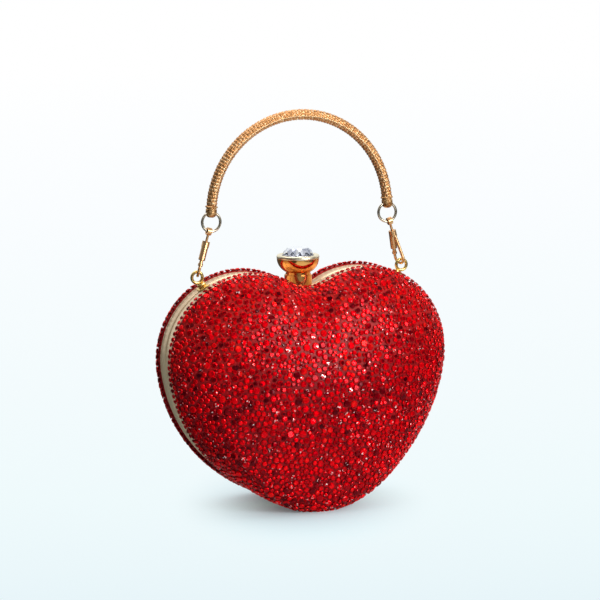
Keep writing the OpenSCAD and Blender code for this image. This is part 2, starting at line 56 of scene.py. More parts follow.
# %% [markdown]
# ## The camera
# The picture was taken from slightly left of the front and slightly above, from well back, so the
# lines hardly converge. A long lens does the same here. The camera is turned about the point it
# looks at: first an azimuth, then an elevation, then a very small roll.

# %% Place the camera
AZIMUTH = 0.391
ELEVATION = 0.15
ROLL = -0.006
DISTANCE = 1800.0
FOCAL_PIXELS = 3269.0
FRAME_PIXELS = 600.0
SENSOR = 36.0
aim = Vector((-0.8, 0.0, 113.06)) * MM

back = Vector((-math.sin(AZIMUTH) * math.cos(ELEVATION), -math.cos(AZIMUTH) * math.cos(ELEVATION),
               math.sin(ELEVATION)))
level = Vector((math.cos(AZIMUTH), -math.sin(AZIMUTH), 0.0))
right = (math.cos(ROLL) * level + math.sin(ROLL) * back.cross(level)).normalized()
facing = Matrix((right, back.cross(right), back)).transposed().to_4x4()
camera = bpy.data.objects.new("camera", bpy.data.cameras.new("camera"))
camera.data.sensor_width = SENSOR
camera.data.lens = FOCAL_PIXELS / FRAME_PIXELS * SENSOR
camera.data.clip_end = 50.0
camera.matrix_world = Matrix.Translation(aim + back * DISTANCE * MM) @ facing
bpy.context.scene.collection.objects.link(camera)
bpy.context.scene.camera = camera
print("camera at", [round(c, 3) for c in camera.location])

# %% [markdown]
# ## Numbers as surfaces
# Every new piece is a set of points worked out with numpy, with the faces between them. A grid of
# points, row by row, is enough for most shapes. Where a row meets itself again the grid closes into
# a tube, and where it shrinks to a point it is closed by a fan of triangles.

# %% Helpers that turn arrays into meshes
def make_mesh(name, points, quads=None, tris=None, smooth=True):
    """Points in millimetres, and faces of four and three corners, become one mesh object."""
    given = [(f, k) for f, k in ((quads, 4), (tris, 3)) if f is not None]
    parts = [np.asarray(f, np.int64).reshape(-1, k) for f, k in given]
    corners = np.concatenate([f.ravel() for f in parts]).astype(np.int32)
    sizes = np.concatenate([np.full(len(f), f.shape[1]) for f in parts])
    starts = np.concatenate([[0], np.cumsum(sizes)[:-1]]).astype(np.int32)
    mesh = bpy.data.meshes.new(name)
    mesh.vertices.add(len(points))
    mesh.vertices.foreach_set("co", (np.asarray(points) * MM).astype(np.float32).ravel())
    mesh.loops.add(len(corners))
    mesh.loops.foreach_set("vertex_index", corners)
    mesh.polygons.add(len(starts))
    mesh.polygons.foreach_set("loop_start", starts)
    mesh.polygons.foreach_set("use_smooth", np.full(len(starts), smooth))
    mesh.update(calc_edges=True)
    mesh.validate()
    piece = bpy.data.objects.new(name, mesh)
    bpy.context.scene.collection.objects.link(piece)
    return piece


def grid_quads(rows, columns, close_rows=False, close_columns=True, start=0):
    """Faces between neighbouring points of a grid stored row by row; a closed way joins last to first."""
    i = np.arange(rows if close_rows else rows - 1)[:, None]
    j = np.arange(columns if close_columns else columns - 1)[None, :]
    below, beside = (i + 1) % rows, (j + 1) % columns
    corners = [i * columns + j, i * columns + beside, below * columns + beside, below * columns + j]
    return np.stack(np.broadcast_arrays(*corners), -1).reshape(-1, 4) + start


def fan(centre, ring):
    """Triangles from one point to each edge of a closed ring of points."""
    ring = np.asarray(ring)
    return np.stack([np.full(len(ring), centre), ring, np.roll(ring, -1)], -1)


def outward(piece):
    """Recalculates the normals of a closed mesh so that every face points away from its inside."""
    bm = bmesh.new()
    bm.from_mesh(piece.data)
    bmesh.ops.recalc_face_normals(bm, faces=bm.faces)
    bm.to_mesh(piece.data)
    bm.free()
    return piece


def keep_edges(piece, degrees=35.0):
    """Keeps an edge crisp in the shading where its two faces meet at more than this angle."""
    piece.data.set_sharp_from_angle(angle=math.radians(degrees))
    return piece


def keep_facets(piece, colours):
    """Keeps four values at each corner of each face, for the crystal materials to read."""
    layer = piece.data.color_attributes.new("facet", "FLOAT_COLOR", "CORNER")
    layer.data.foreach_set("color", colours.astype(np.float32).ravel())


def settle(piece, body, slot, material, *replaced):
    """Puts a finished piece on its CAD body, with its material and the nodes it stands for. The slot is not
    used.
    """
    piece.data.materials.append(material)
    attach(piece, body)
    if replaced:
        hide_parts(*replaced)
    print(f"{piece.name}: {len(piece.data.vertices)} points, rides on {body}")
    return piece


print("a tube of 3 rings with 4 points each has", len(grid_quads(3, 4)), "faces")

# %% [markdown]
# ## The heart's outline and its dome
# The frame is a chain of arcs: a wide circle for each lobe, a flatter one down each side, a small one
# for the tip and a hollow one for the cleft. The dome starts as circles at its crown and turns into
# the heart at the frame. The same few numbers as in the CAD drawing give the same surface here. Only
# the cleft is drawn a little wider and shallower, because solder and stones fill it on the real one.

# %% The outline as a function of direction
HALF_BREADTH = 80.0
LOBE_R, SIDE_R, TIP_R, CLEFT_R = 46.0, 85.0, 28.0, 22.0
LOBE_C = np.array([HALF_BREADTH - LOBE_R, 41.0])
SIDE_TURN = math.radians(-7.5)
SIDE_C = LOBE_C - (SIDE_R - LOBE_R) * np.array([math.cos(SIDE_TURN), math.sin(SIDE_TURN)])
TIP_C = np.array([0.0, SIDE_C[1] - math.sqrt((SIDE_R - TIP_R) ** 2 - SIDE_C[0] ** 2)])
CLEFT_C = np.array([0.0, LOBE_C[1] + math.sqrt((LOBE_R + CLEFT_R) ** 2 - LOBE_C[0] ** 2)])


def angle_of(point):
    """Direction of a point from the crown, in radians."""
    return math.atan2(point[1], point[0])


CLEFT_ANGLE = angle_of(CLEFT_C + (LOBE_C - CLEFT_C) * CLEFT_R / (LOBE_R + CLEFT_R))
SIDE_ANGLE = angle_of(LOBE_C + LOBE_R * np.array([math.cos(SIDE_TURN), math.sin(SIDE_TURN)]))
TIP_ANGLE = angle_of(TIP_C + TIP_R * (TIP_C - SIDE_C) / np.linalg.norm(TIP_C - SIDE_C))


def heart_radius(direction, out=0.0):
    """Distance from the crown to the outline moved out: where a ray meets the circle that faces it."""
    ux, uy = np.abs(np.cos(direction)), np.sin(direction)
    turn = np.arctan2(uy, ux)

    def hit(centre, radius, side):
        along = ux * centre[0] + uy * centre[1]
        across = ux * centre[1] - uy * centre[0]
        return along + side * np.sqrt(np.maximum(radius * radius - across * across, 0))

    cleft, lobe = hit(CLEFT_C, CLEFT_R - out, -1), hit(LOBE_C, LOBE_R + out, 1)
    flank, tip = hit(SIDE_C, SIDE_R + out, 1), hit(TIP_C, TIP_R + out, 1)
    return np.select([turn > CLEFT_ANGLE, turn > SIDE_ANGLE, turn > TIP_ANGLE], [cleft, lobe, flank], tip)


frame_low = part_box("rear_frame")[0]
CROWN_Z = frame_low.z / MM + TIP_R - TIP_C[1]
TIP_Z = frame_low.z / MM
CLEFT_Z = CROWN_Z + CLEFT_C[1] - CLEFT_R
print(f"crown {CROWN_Z:.2f}, tip {TIP_Z:.2f}, cleft {CLEFT_Z:.2f} mm above the table")

# %% The dome as a function of a disc
HALF_BAND = 8.15
DOME_H = 28.0
CROWN_SHARE, FULLNESS, BLENDING, CROWDING = 0.88, 2.8, 2.4, 1.5


def dome_point(u, v, out=0.0, side=-1):
    """A place on the unit disc goes to the dome: its distance from the middle gives the polar angle
    from crown to frame, and its direction gives the outline's radius there. Side -1 is the front."""
    reach = np.hypot(u, v)
    direction = np.arctan2(v, u)
    polar = math.pi / 2 * np.clip(reach, 0, 1) ** CROWDING
    share = np.sin(polar) ** (2 / FULLNESS)
    blend = share ** BLENDING
    radius = share * ((1 - blend) * (CROWN_SHARE * HALF_BREADTH + out) + blend * heart_radius(direction, out))
    height = CROWN_Z + radius * np.sin(direction)
    depth = side * (HALF_BAND + (DOME_H + out) * np.cos(polar))
    return np.stack([radius * np.cos(direction), depth, height], -1)


print("crown of the front dome:", np.round(dome_point(np.array([0.0]), np.array([0.0]))[0], 2))

# %% [markdown]
# ## Shared effects
# Polished metal is never perfectly even: its plating is a little cloudy, has faint wiping marks, and
# is duller where fingers touch it. One node group makes those values, and each metal places it with
# its own scale and strength. The group gives a roughness, a shade and a height, and the shader stays in
# the material.

# %% A node group for plated metal
def new_group(name, inputs, outputs):
    """An empty shader node group with named inputs (name, kind, default) and outputs (name, kind)."""
    group = bpy.data.node_groups.new(name, "ShaderNodeTree")
    for label, kind, value in inputs:
        socket = group.interface.new_socket(label, in_out="INPUT", socket_type=kind)
        socket.default_value = value
    for label, kind in outputs:
        group.interface.new_socket(label, in_out="OUTPUT", socket_type=kind)
    return group, group.nodes.new("NodeGroupInput"), group.nodes.new("NodeGroupOutput")


def add(tree, kind, links=(), **settings):
    """Adds one node, sets its properties or input values, and links other sockets into its inputs."""
    node = tree.nodes.new(kind)
    for key, value in settings.items():
        setattr(node, key, value)
    for key, value in links:
        target = node.inputs[key]
        if isinstance(value, bpy.types.NodeSocket):
            tree.links.new(value, target)
        else:
            target.default_value = value
    return node


def maths(tree, operation, *values):
    """One step of arithmetic on sockets and numbers."""
    return add(tree, "ShaderNodeMath", enumerate(values), operation=operation).outputs[0]


def vector_maths(tree, operation, *values):
    """One step with vectors. A dot product and a length are single values."""
    node = add(tree, "ShaderNodeVectorMath", enumerate(values), operation=operation)
    return node.outputs["Value" if operation in ("DOT_PRODUCT", "LENGTH") else "Vector"]


def noise(tree, vector, scale, detail):
    """Cloudy values from 0 to 1 at a scale, in the given coordinates."""
    return add(tree, "ShaderNodeTexNoise",
               [("Vector", vector), ("Scale", scale), ("Detail", detail)]).outputs[0]


def scaled(tree, vector, scale):
    """Coordinates stretched by three numbers."""
    return add(tree, "ShaderNodeMapping", [("Vector", vector), ("Scale", scale)]).outputs[0]


def spot_of(tree):
    """A place on the piece: Object coordinates, which stay put when the piece moves."""
    return add(tree, "ShaderNodeTexCoord").outputs["Object"]


FLOAT = "NodeSocketFloat"
plating, g_in, g_out = new_group(
    "plated_metal",
    [("Cloud scale", FLOAT, 60.0), ("Cloudiness", FLOAT, 0.06), ("Base roughness", FLOAT, 0.15),
     ("Marks", FLOAT, 0.02), ("Tint", FLOAT, 0.08)],
    [("Roughness", FLOAT), ("Shade", FLOAT), ("Height", FLOAT)])
asked = g_in.outputs
spot = spot_of(plating)
cloud = noise(plating, spot, asked["Cloud scale"], 4.0)
wipe = noise(plating, scaled(plating, spot, (1.0, 0.25, 3.0)), 900.0, 2.0)
rough = maths(plating, "MULTIPLY_ADD", cloud, asked["Cloudiness"], asked["Base roughness"])
rough = maths(plating, "MULTIPLY_ADD", wipe, asked["Marks"], rough)
shade = maths(plating, "SUBTRACT", 1.0, maths(plating, "MULTIPLY", cloud, asked["Tint"]))
for label, value in (("Roughness", rough), ("Shade", shade), ("Height", wipe)):
    plating.links.new(value, g_out.inputs[label])
print("node group", plating.name, "has", len(plating.nodes), "nodes")

# %% Colours and the metal finishes
def srgb(r, g, b):
    """A colour named by its 0 to 255 values, turned to linear light as the shader wants it."""
    c = np.array([r, g, b]) / 255
    return tuple(np.where(c <= 0.04045, c / 12.92, ((c + 0.055) / 1.055) ** 2.4)) + (1.0,)


def new_material(name):
    """An empty node material with its shader and output ready."""
    material = bpy.data.materials.new(name)
    material.use_nodes = True
    return material, material.node_tree, material.node_tree.nodes["Principled BSDF"]


def ramp(tree, value, stops):
    """A value turned into a colour, by stops of (place, colour)."""
    node = add(tree, "ShaderNodeValToRGB", [("Fac", value)])
    for at, _ in stops[1:-1]:
        node.color_ramp.elements.new(at)
    for element, (at, colour) in zip(node.color_ramp.elements, stops):
        element.position, element.color = at, srgb(*colour)
    return node.outputs[0]


def mixed(tree, share, first, second):
    """The first colour where the share is 0, the second where it is 1."""
    return add(tree, "ShaderNodeMix", [(0, share), (6, first), (7, second)], data_type="RGBA").outputs[2]


def between(tree, value, given, wanted=(0.0, 1.0), smooth=True):
    """Maps one range of values to another, evenly or with a soft start and end."""
    return add(tree, "ShaderNodeMapRange",
               [("Value", value), ("From Min", given[0]), ("From Max", given[1]),
                ("To Min", wanted[0]), ("To Max", wanted[1])],
               interpolation_type="SMOOTHSTEP" if smooth else "LINEAR").outputs[0]


def colour_with(tree, shader, colour):
    """Links a colour into the shader."""
    tree.links.new(colour, shader.inputs["Base Color"])


def emboss(tree, shader, height, strength, distance):
    """Links a height into the shader's normal, with its full depth in metres."""
    relief = add(tree, "ShaderNodeBump",
                 [("Height", height), ("Strength", strength), ("Distance", distance)])
    tree.links.new(relief.outputs[0], shader.inputs["Normal"])
    return relief


def set_plain(shader, **values):
    """What is the same all over the surface goes straight onto the shader's sockets."""
    for label, value in values.items():
        shader.inputs[label.replace("_", " ")].default_value = value


SHADED = 0.55


def metal(name, colour, roughness=0.16, scale=60.0, cloudiness=0.08, marks=0.03, tint=0.12, bump=0.05,
          metallic=1.0):
    """Plated metal: one colour that is a little darker where the shared group's clouds are, and the
    group's roughness and bump. Brushed champagne plating also scatters light, so it is less metallic."""
    material, tree, shader = new_material(name)
    worn = add(tree, "ShaderNodeGroup",
               [("Cloud scale", scale), ("Cloudiness", cloudiness), ("Base roughness", roughness),
                ("Marks", marks), ("Tint", tint)], node_tree=plating)
    dark = tuple(SHADED * c for c in srgb(*colour)[:3]) + (1.0,)
    colour_with(tree, shader, mixed(tree, worn.outputs["Shade"], dark, srgb(*colour)))
    tree.links.new(worn.outputs["Roughness"], shader.inputs["Roughness"])
    emboss(tree, shader, worn.outputs["Height"], bump, 0.00005)
    set_plain(shader, Metallic=metallic)
    return material


champagne = metal("champagne_plating", (238, 206, 168), roughness=0.33, metallic=0.62)
warm_gold = metal("warm_gold_plating", (236, 172, 100), roughness=0.14)
pink_gold = metal("pink_gold_plating", (226, 178, 126), roughness=0.28)
pale_gold = metal("pale_gold_plating", (242, 228, 198), roughness=0.3)
bowl_gold = metal("mirror_gold_plating", (244, 172, 96), roughness=0.06, cloudiness=0.03, marks=0.01,
                  bump=0.01)
eyelet_gold = metal("yellow_gold_plating", (232, 196, 120), roughness=0.14)
silver_ring = metal("pale_ring_plating", (214, 200, 178), roughness=0.14)
steel = metal("spring_steel", (176, 176, 178), roughness=0.3)
shell_metal = metal("pressed_shell_metal", (150, 146, 140), roughness=0.35)
print("metals:", [m.name for m in bpy.data.materials])

# %% [markdown]
# ## The crystals
# Each half is paved by hand with some 2600 pointed-back crystals in a few sizes, which touch each
# other at random. They could be instances from a scatter, but a scatter overlaps or leaves holes. Here
# the stones are first dropped evenly over the dome, then push each other apart for a while, as stones
# in a bowl do when it is shaken. Small stones then go where a hole is left. The edge is set first, with
# a row of equal stones in even steps along the frame, and that row stays put.

# %% Spread the stones over a dome
GIRDLE_OUT = 1.65
STONE_SIZES = np.array([1.2, 1.5, 1.8, 2.1, 2.5])
SIZE_SHARES = np.array([0.22, 0.28, 0.27, 0.16, 0.07])
COVER = 0.97
SMALLEST = 0.6
BORDER_R, BORDER_STEP = 1.35, 3.1
BORDER_GAP = 0.05
DISC_USED = 0.98


def slopes(u, v, out, side):
    """How the dome's point moves for a small step in u and in v, by taking differences."""
    e = 1e-3
    return ((dome_point(u + e, v, out, side) - dome_point(u - e, v, out, side)) / (2 * e),
            (dome_point(u, v + e, out, side) - dome_point(u, v - e, out, side)) / (2 * e))


def even_places(rng, count, side):
    """Random places on the disc that are evenly spread over the dome's area, and that area."""
    u, v = rng.uniform(-DISC_USED, DISC_USED, (2, 30 * count))
    inside = np.hypot(u, v) < DISC_USED
    u, v = u[inside], v[inside]
    du, dv = slopes(u, v, GIRDLE_OUT, side)
    stretch = np.linalg.norm(np.cross(du, dv), axis=1)
    chosen = np.nonzero(rng.random(len(u)) < stretch / stretch.max())[0][:count]
    return u[chosen], v[chosen], stretch.mean() * math.pi


def furthest(radius):
    """How far out on the disc a stone may lie before it would touch the frame's face."""
    polar = np.arccos((radius + BORDER_GAP) / (DOME_H + GIRDLE_OUT))
    return (polar * 2 / math.pi) ** (1 / CROWDING)


def border_row():
    """The row along the frame: even steps of length on the outline, turned into places on the disc."""
    direction = np.linspace(0, 2 * math.pi, 4001)
    radius = heart_radius(direction, GIRDLE_OUT)
    steps = np.hypot(np.diff(radius * np.cos(direction)), np.diff(radius * np.sin(direction)))
    length = np.concatenate([[0], np.cumsum(steps)])
    count = int(length[-1] / BORDER_STEP)
    turn = np.interp(np.arange(count) * length[-1] / count, length, direction)
    reach = furthest(BORDER_R)
    return reach * np.cos(turn), reach * np.sin(turn)


print("the row at the frame has", len(border_row()[0]), "stones")

# %% [markdown]
# The push works on all pairs at once. Each overlapping pair moves apart by its overlap, half each, and
# the step in space is turned into a step on the disc with the dome's two slopes. The pairs that may
# touch are looked up again every few rounds only, which saves most of the time.

# %% Push the stones apart and fill the holes
ROUNDS, LOOK_EVERY, NEAR = 110, 10, 1.2
KEPT_LAP, LEAST_SHARE = 0.5, 0.55
HOLE_TRIES = 9000


def push_apart(u, v, r, fixed, side):
    """Round after round, moves the stones by the sum of their pushes and keeps them off the frame. Gives
    the new places and the worst overlap that is left for each stone."""
    count = len(u)
    limit = furthest(r)
    for step in range(ROUNDS):
        p = dome_point(u, v, GIRDLE_OUT, side)
        if step % LOOK_EVERY == 0:
            flat = p.astype(np.float32)
            near = ((flat[:, None] - flat[None]) ** 2).sum(-1) < (r[:, None] + r[None, :] + NEAR) ** 2
            first, second = np.nonzero(np.triu(near, 1))
        apart = p[first] - p[second]
        gap = np.linalg.norm(apart, axis=1)
        lap = np.maximum(r[first] + r[second] - gap, 0)
        push = apart / gap[:, None] * (0.5 * lap)[:, None]
        move = np.stack([np.bincount(first, push[:, k], count) - np.bincount(second, push[:, k], count)
                         for k in range(3)], -1)
        move[:fixed] = 0
        du, dv = slopes(u, v, GIRDLE_OUT, side)
        a, b, c = (du * du).sum(1), (du * dv).sum(1), (dv * dv).sum(1)
        x, y = (du * move).sum(1), (dv * move).sum(1)
        whole = a * c - b * b
        u, v = u + (c * x - b * y) / whole, v + (a * y - b * x) / whole
        back_in = np.minimum(limit / np.hypot(u, v), 1)
        u, v = u * back_in, v * back_in
    worst = np.zeros(count)
    np.maximum.at(worst, first, lap)
    np.maximum.at(worst, second, lap)
    return u, v, worst


def fill_holes(rng, u, v, r, side):
    """Looks for the roomiest of many places, sets a small stone there, and looks again."""
    p = dome_point(u, v, GIRDLE_OUT, side).astype(np.float32)
    cu, cv, _ = even_places(rng, HOLE_TRIES, side)
    c = dome_point(cu, cv, GIRDLE_OUT, side).astype(np.float32)
    room = np.concatenate([(np.linalg.norm(part[:, None] - p[None], axis=2) - r).min(1)
                           for part in np.array_split(c, 12)])
    room = np.minimum(room, np.abs(c[:, 1]) - HALF_BAND - BORDER_GAP)
    extra = []
    while room.max() > SMALLEST:
        best = int(room.argmax())
        size = min(room[best], STONE_SIZES[1])
        extra.append((cu[best], cv[best], size))
        room = np.minimum(room, np.linalg.norm(c - c[best], axis=1) - size)
    return np.array(extra).reshape(-1, 3)


def pave(seed, side):
    """Drops stones on a dome, pushes overlapping pairs apart, shrinks what still overlaps, fills holes."""
    rng = np.random.default_rng(seed)
    area = even_places(rng, 400, side)[2]
    edge_u, edge_v = border_row()
    fixed = len(edge_u)
    covered = COVER * area - fixed * math.pi * BORDER_R ** 2
    loose = int(covered / (math.pi * np.sum(SIZE_SHARES * STONE_SIZES ** 2)))
    u, v, _ = even_places(rng, loose, side)
    r = rng.choice(STONE_SIZES, loose, p=SIZE_SHARES) * rng.uniform(0.96, 1.04, loose)
    u, v, r = np.append(edge_u, u), np.append(edge_v, v), np.append(np.full(fixed, BORDER_R), r)
    u, v, worst = push_apart(u, v, r, fixed, side)
    r = np.where(np.arange(len(r)) < fixed, r, np.maximum(r - KEPT_LAP * worst, LEAST_SHARE * r))
    extra = fill_holes(rng, u, v, r, side)
    print(f"dome area {area:.0f} mm2, {len(r)} stones ({fixed} in the row at the frame) and "
          f"{len(extra)} small ones, radii {r.min():.2f} to {r.max():.2f} mm")
    return np.append(u, extra[:, 0]), np.append(v, extra[:, 1]), np.append(r, extra[:, 2]), fixed


print("all pairs are pushed apart", ROUNDS, "times")

# %% [markdown]
# A crystal has a flat table, a ring of facets that slope down from it, a girdle and a pointed back.
# Eight sides are enough at this size. Stones that would reach below the table are worn flat there.
# What one sees in a red foiled stone is mostly the inside of its back: a dark middle broken by bright
# flashes, and a pale line where the girdle catches the light. Glass that deep would need very many
# light paths, so these are painted instead: each facet gets its own value of painted reflection, a few
# get painted flashes, and the girdles a painted glint.

# %% Cut one stone and set it in every place
SIDES = 8
around = np.arange(SIDES) * 2 * math.pi / SIDES
rings = [(0.66, 0.36, 0.0), (0.95, 0.12, 0.5), (1.0, 0.0, 0.5)]
template = [[0.0, 0.0, 0.375]]
for share, rise, shift in rings:
    angle = around + shift * 2 * math.pi / SIDES
    template += np.stack([share * np.cos(angle), share * np.sin(angle), np.full(SIDES, rise)], -1).tolist()
template = np.array(template + [[0.0, 0.0, -0.85]])
k = np.arange(SIDES)
after = (k + 1) % SIDES
inner, middle, girdle, point = 1 + k, 1 + SIDES + k, 1 + 2 * SIDES + k, 1 + 3 * SIDES
inner_next, middle_next, girdle_next = 1 + after, 1 + SIDES + after, 1 + 2 * SIDES + after
STONE_TRIS = np.concatenate([np.stack(np.broadcast_arrays(*corners), -1) for corners in (
    (0, inner, inner_next), (inner, middle, inner_next), (inner_next, middle, middle_next),
    (middle, girdle, girdle_next), (middle, girdle_next, middle_next), (point, girdle_next, girdle))])
FACET_KIND = np.repeat([0, 1, 2, 3, 3, 4], SIDES)
FACET_OF = np.concatenate([k, 8 + k, 16 + k, 24 + k, 24 + k, 32 + k])
SECTOR_OF = np.tile(np.array([0, 0, 0, 1, 1, 2, 2, 2]), 6)
STONE_TOP, STONE_TILT, DARK_SHARE = 2.2, 0.1, 0.09
print("one stone:", len(template), "points and", len(STONE_TRIS), "triangles")


def facet_look(rng, height, sideways, edging):
    """Each facet gets a value from its stone's mood, its third of the stone and chance, a painted
    reflection of the foil. Stones are lighter near the top, a painted light from above, and darker where
    they face sideways and in the row along the frame, a painted shade; some are dark at random. Girdle
    facets also get a share of salmon, a painted glint that is stronger near the top, and a few other
    facets get painted flashes."""
    count = len(height)
    mood = rng.beta(1.5, 1.4, count)[:, None]
    # painted light from above: stones higher up the dome get lighter
    painted_top_light = np.clip((height - 60) / 50, 0, 1)
    facet = rng.random((count, 40))[:, FACET_OF]
    sector = rng.random((count, 3))[:, SECTOR_OF]
    kind = FACET_KIND[None]
    # the facet values are a painted reflection of the foil inside each stone
    chance = 0.5 * sector + 0.3 * facet + 0.2 * rng.random((count, 1))
    bright = chance * (0.35 + 0.65 * mood)
    light = np.select([kind == 0, kind == 1, kind == 2, kind == 3],
                      [1.05 * mood * chance, 0.1 + 0.8 * bright, 0.05 + 0.85 * bright,
                       0.2 + 0.5 * facet], 0.15)
    light = np.where(rng.random((count, 1)) < DARK_SHARE, 0.22 * light, light) * (1.0 + 0.22 * painted_top_light)
    # painted shade on stones that face sideways and on the row along the frame
    light = np.where(edging, 0.6 * light, light) * (1 - 0.17 * sideways)
    # the girdles get a painted salmon glint, stronger near the top
    painted_girdle_glint = np.where(kind == 3, 0.05 + 0.8 * facet * rng.random((count, 1)), 0.0) * (0.35 + 0.85 * painted_top_light)
    # a few crown facets get painted pink flashes
    painted_spark = (kind < 3) & (facet > 0.94) & (rng.random((count, 1)) < 0.3)
    painted_flash = np.where(painted_spark, 0.35 + 0.65 * rng.random((count, 1)), 0.0)
    return np.stack([light, painted_girdle_glint, painted_flash, np.broadcast_to(mood, light.shape)], -1)


def set_stones(name, seed, side):
    """Turns the cut stone to the dome's normal at each place, with a small tilt and a random spin. Small
    stones stand a little higher, and those in the row at the frame stand evenly."""
    u, v, r, fixed = pave(seed, side)
    count = len(u)
    edging = np.arange(count) < fixed
    rng = np.random.default_rng(seed + 100)
    du, dv = slopes(u, v, GIRDLE_OUT, side)
    normal = np.cross(du, dv)
    from_inside = dome_point(u, v, 0, side) - np.array([0.0, side * HALF_BAND, CROWN_Z])
    normal *= np.sign((normal * from_inside).sum(1))[:, None]
    normal /= np.linalg.norm(normal, axis=1)[:, None]
    normal += rng.normal(0, STONE_TILT, (count, 3))
    normal /= np.linalg.norm(normal, axis=1)[:, None]
    across = np.cross(normal, [0.0, 0.3, 1.0])
    across /= np.linalg.norm(across, axis=1)[:, None]
    along = np.cross(normal, across)
    spin = rng.uniform(0, 2 * math.pi, count)
    e1 = np.cos(spin)[:, None] * across + np.sin(spin)[:, None] * along
    e2 = np.cross(normal, e1)
    top = STONE_TOP - np.where(edging, 0.0, rng.uniform(0, 0.3, count)) - 0.37 * r
    centre = dome_point(u, v, 0, side) + normal * top[:, None]
    local = template[None] * r[:, None, None]
    points = (centre[:, None] + local[..., :1] * e1[:, None] + local[..., 1:2] * e2[:, None]
              + local[..., 2:] * normal[:, None])
    points[..., 2] = np.maximum(points[..., 2], 0.02)
    tris = (STONE_TRIS[None] + (np.arange(count) * len(template))[:, None, None]).reshape(-1, 3)
    piece = make_mesh(name, points.reshape(-1, 3), tris=tris, smooth=False)
    look = facet_look(rng, centre[:, 2:], np.abs(normal[:, :1]), edging[:, None])
    keep_facets(piece, np.repeat(look.reshape(-1, 1, 4), 3, axis=1))
    return piece

# %% [markdown]
# The stone's material reads the facet values: a colour ramp turns them from maroon through deep red to
# a bright orange red, a painted reflection of the foil; the girdles turn salmon, a painted glint; and a
# few facets get painted pale pink flashes. Plain glass would mirror the white room and look grey. A
# foiled stone sends back red light only, as a metal does, so the shader is partly metallic and its
# mirror image of the lamps keeps the facet's colour.

# %% The crystal material
# the ramp's range from dark to bright carries the painted reflection of the foil
RED_GLASS = [(0.0, (54, 0, 9)), (0.15, (156, 0, 13)), (0.36, (230, 0, 13)), (0.62, (244, 0, 14)),
             (1.0, (248, 58, 30))]
GIRDLE_GLINT_SALMON, PAINTED_FLASH_PINK = (255, 120, 104), (255, 226, 222)


def crystal_red(name):
    """Foiled red glass: facet values through a ramp as a painted reflection, salmon girdles as a painted
    glint, painted pink flashes, a mirrored back.
    """
    material, tree, shader = new_material(name)
    facet = add(tree, "ShaderNodeAttribute", attribute_name="facet")
    light, painted_girdle_glint, painted_flash = add(tree, "ShaderNodeSeparateColor", [("Color", facet.outputs["Color"])]).outputs
    colour = mixed(tree, painted_girdle_glint, ramp(tree, light, RED_GLASS), srgb(*GIRDLE_GLINT_SALMON))
    colour_with(tree, shader, mixed(tree, painted_flash, colour, srgb(*PAINTED_FLASH_PINK)))
    set_plain(shader, Metallic=0.55, Roughness=0.26, Specular_IOR_Level=0.1,
              Specular_Tint=srgb(255, 60, 60), Coat_Weight=0.13, Coat_Roughness=0.03)
    return material


crystals = crystal_red("red_foiled_crystal")
for (side, half), seed in zip(HALVES, (11, 23)):
    stones = set_stones(f"{half}_stones", seed, side)
    settle(stones, f"{half}_half", "red_crystal", crystals, f"{half}_stone_bed")

# %% [markdown]
# ## The setting under the stones
# The stones are glued into a dark red bed on a pressed metal shell. It shows only as thin lines
# between them, but without it one would look through the gaps. It is the dome's own surface on a
# grid of rings and rays, once for the outside and once for the inside, joined at the frame, where it
# gets thin so that the last row of stones stands free. The red is paler towards the top, a painted
# light from above.

# %% Two domed shells
RAYS, RINGS = 144, 30
BED_OUT, SHELL_IN = 1.1, -1.2


def warped_rays(count):
    """Directions round the heart from the cleft, closer together near the cleft."""
    turn = 2 * math.pi * np.arange(count) / count
    return math.pi / 2 + turn - 0.4 * np.sin(turn)


def dome_shell(name, outer, inner, side, rays=RAYS, rings=RINGS, ripple=None, edge=None):
    """Rings of dome points for the outer and the inner surface, each closed by a fan at the crown and
    joined at the frame. A ripple moves the inner surface in by a function of direction and reach, and
    an edge value lowers the outer surface's last ring."""
    angle = warped_rays(rays)[None, :]
    reach = (np.arange(1, rings + 1) / rings)[:, None]
    u, v = reach * np.cos(angle), reach * np.sin(angle)
    zero = np.zeros(1)
    layers = []
    for out in (outer, inner):
        moved = out if ripple is None or out == outer else out - ripple(angle, reach)
        if out == outer and edge is not None:
            moved = np.where(reach > 0.999, edge, out)
        layers += [dome_point(zero, zero, out, side), dome_point(u, v, moved, side).reshape(-1, 3)]
    points = np.concatenate(layers)
    points[:, 2] = np.maximum(points[:, 2], 0.05)
    size = 1 + rings * rays
    quads = [grid_quads(rings, rays, start=1), grid_quads(rings, rays, start=1 + size)[:, ::-1]]
    last = 1 + (rings - 1) * rays + np.arange(rays)
    quads.append(np.stack([last, last + size, np.roll(last + size, -1), np.roll(last, -1)], -1)[:, ::-1])
    tris = [fan(0, 1 + np.arange(rays)), fan(size, 1 + size + np.arange(rays))[:, ::-1]]
    return outward(make_mesh(name, points, quads=np.concatenate(quads), tris=np.concatenate(tris)))


def lacquer_material():
    """Dark red glue and lacquer: grain that varies the red, and a paler red with height, a painted light
    from above.
    """
    material, tree, shader = new_material("dark_red_bed")
    spot = spot_of(tree)
    grain = noise(tree, spot, 700.0, 3.0)
    upright = add(tree, "ShaderNodeSeparateXYZ", [(0, spot)]).outputs[2]
    # painted light from above: the red turns paler with height
    pale = maths(tree, "MULTIPLY", between(tree, upright, (0.07, 0.12), smooth=False), grain)
    reds = ramp(tree, grain, [(0.35, (100, 0, 8)), (0.7, (160, 8, 14))])
    colour_with(tree, shader, mixed(tree, pale, reds, srgb(216, 48, 44)))
    emboss(tree, shader, grain, 0.4, 0.0002)
    set_plain(shader, Roughness=0.35, Specular_IOR_Level=0.1)
    return material


lacquer = lacquer_material()
for side, half in HALVES:
    bed = dome_shell(f"{half}_bed", BED_OUT, SHELL_IN, side, edge=0.15)
    settle(bed, f"{half}_half", "shell_metal", lacquer, f"{half}_shell")

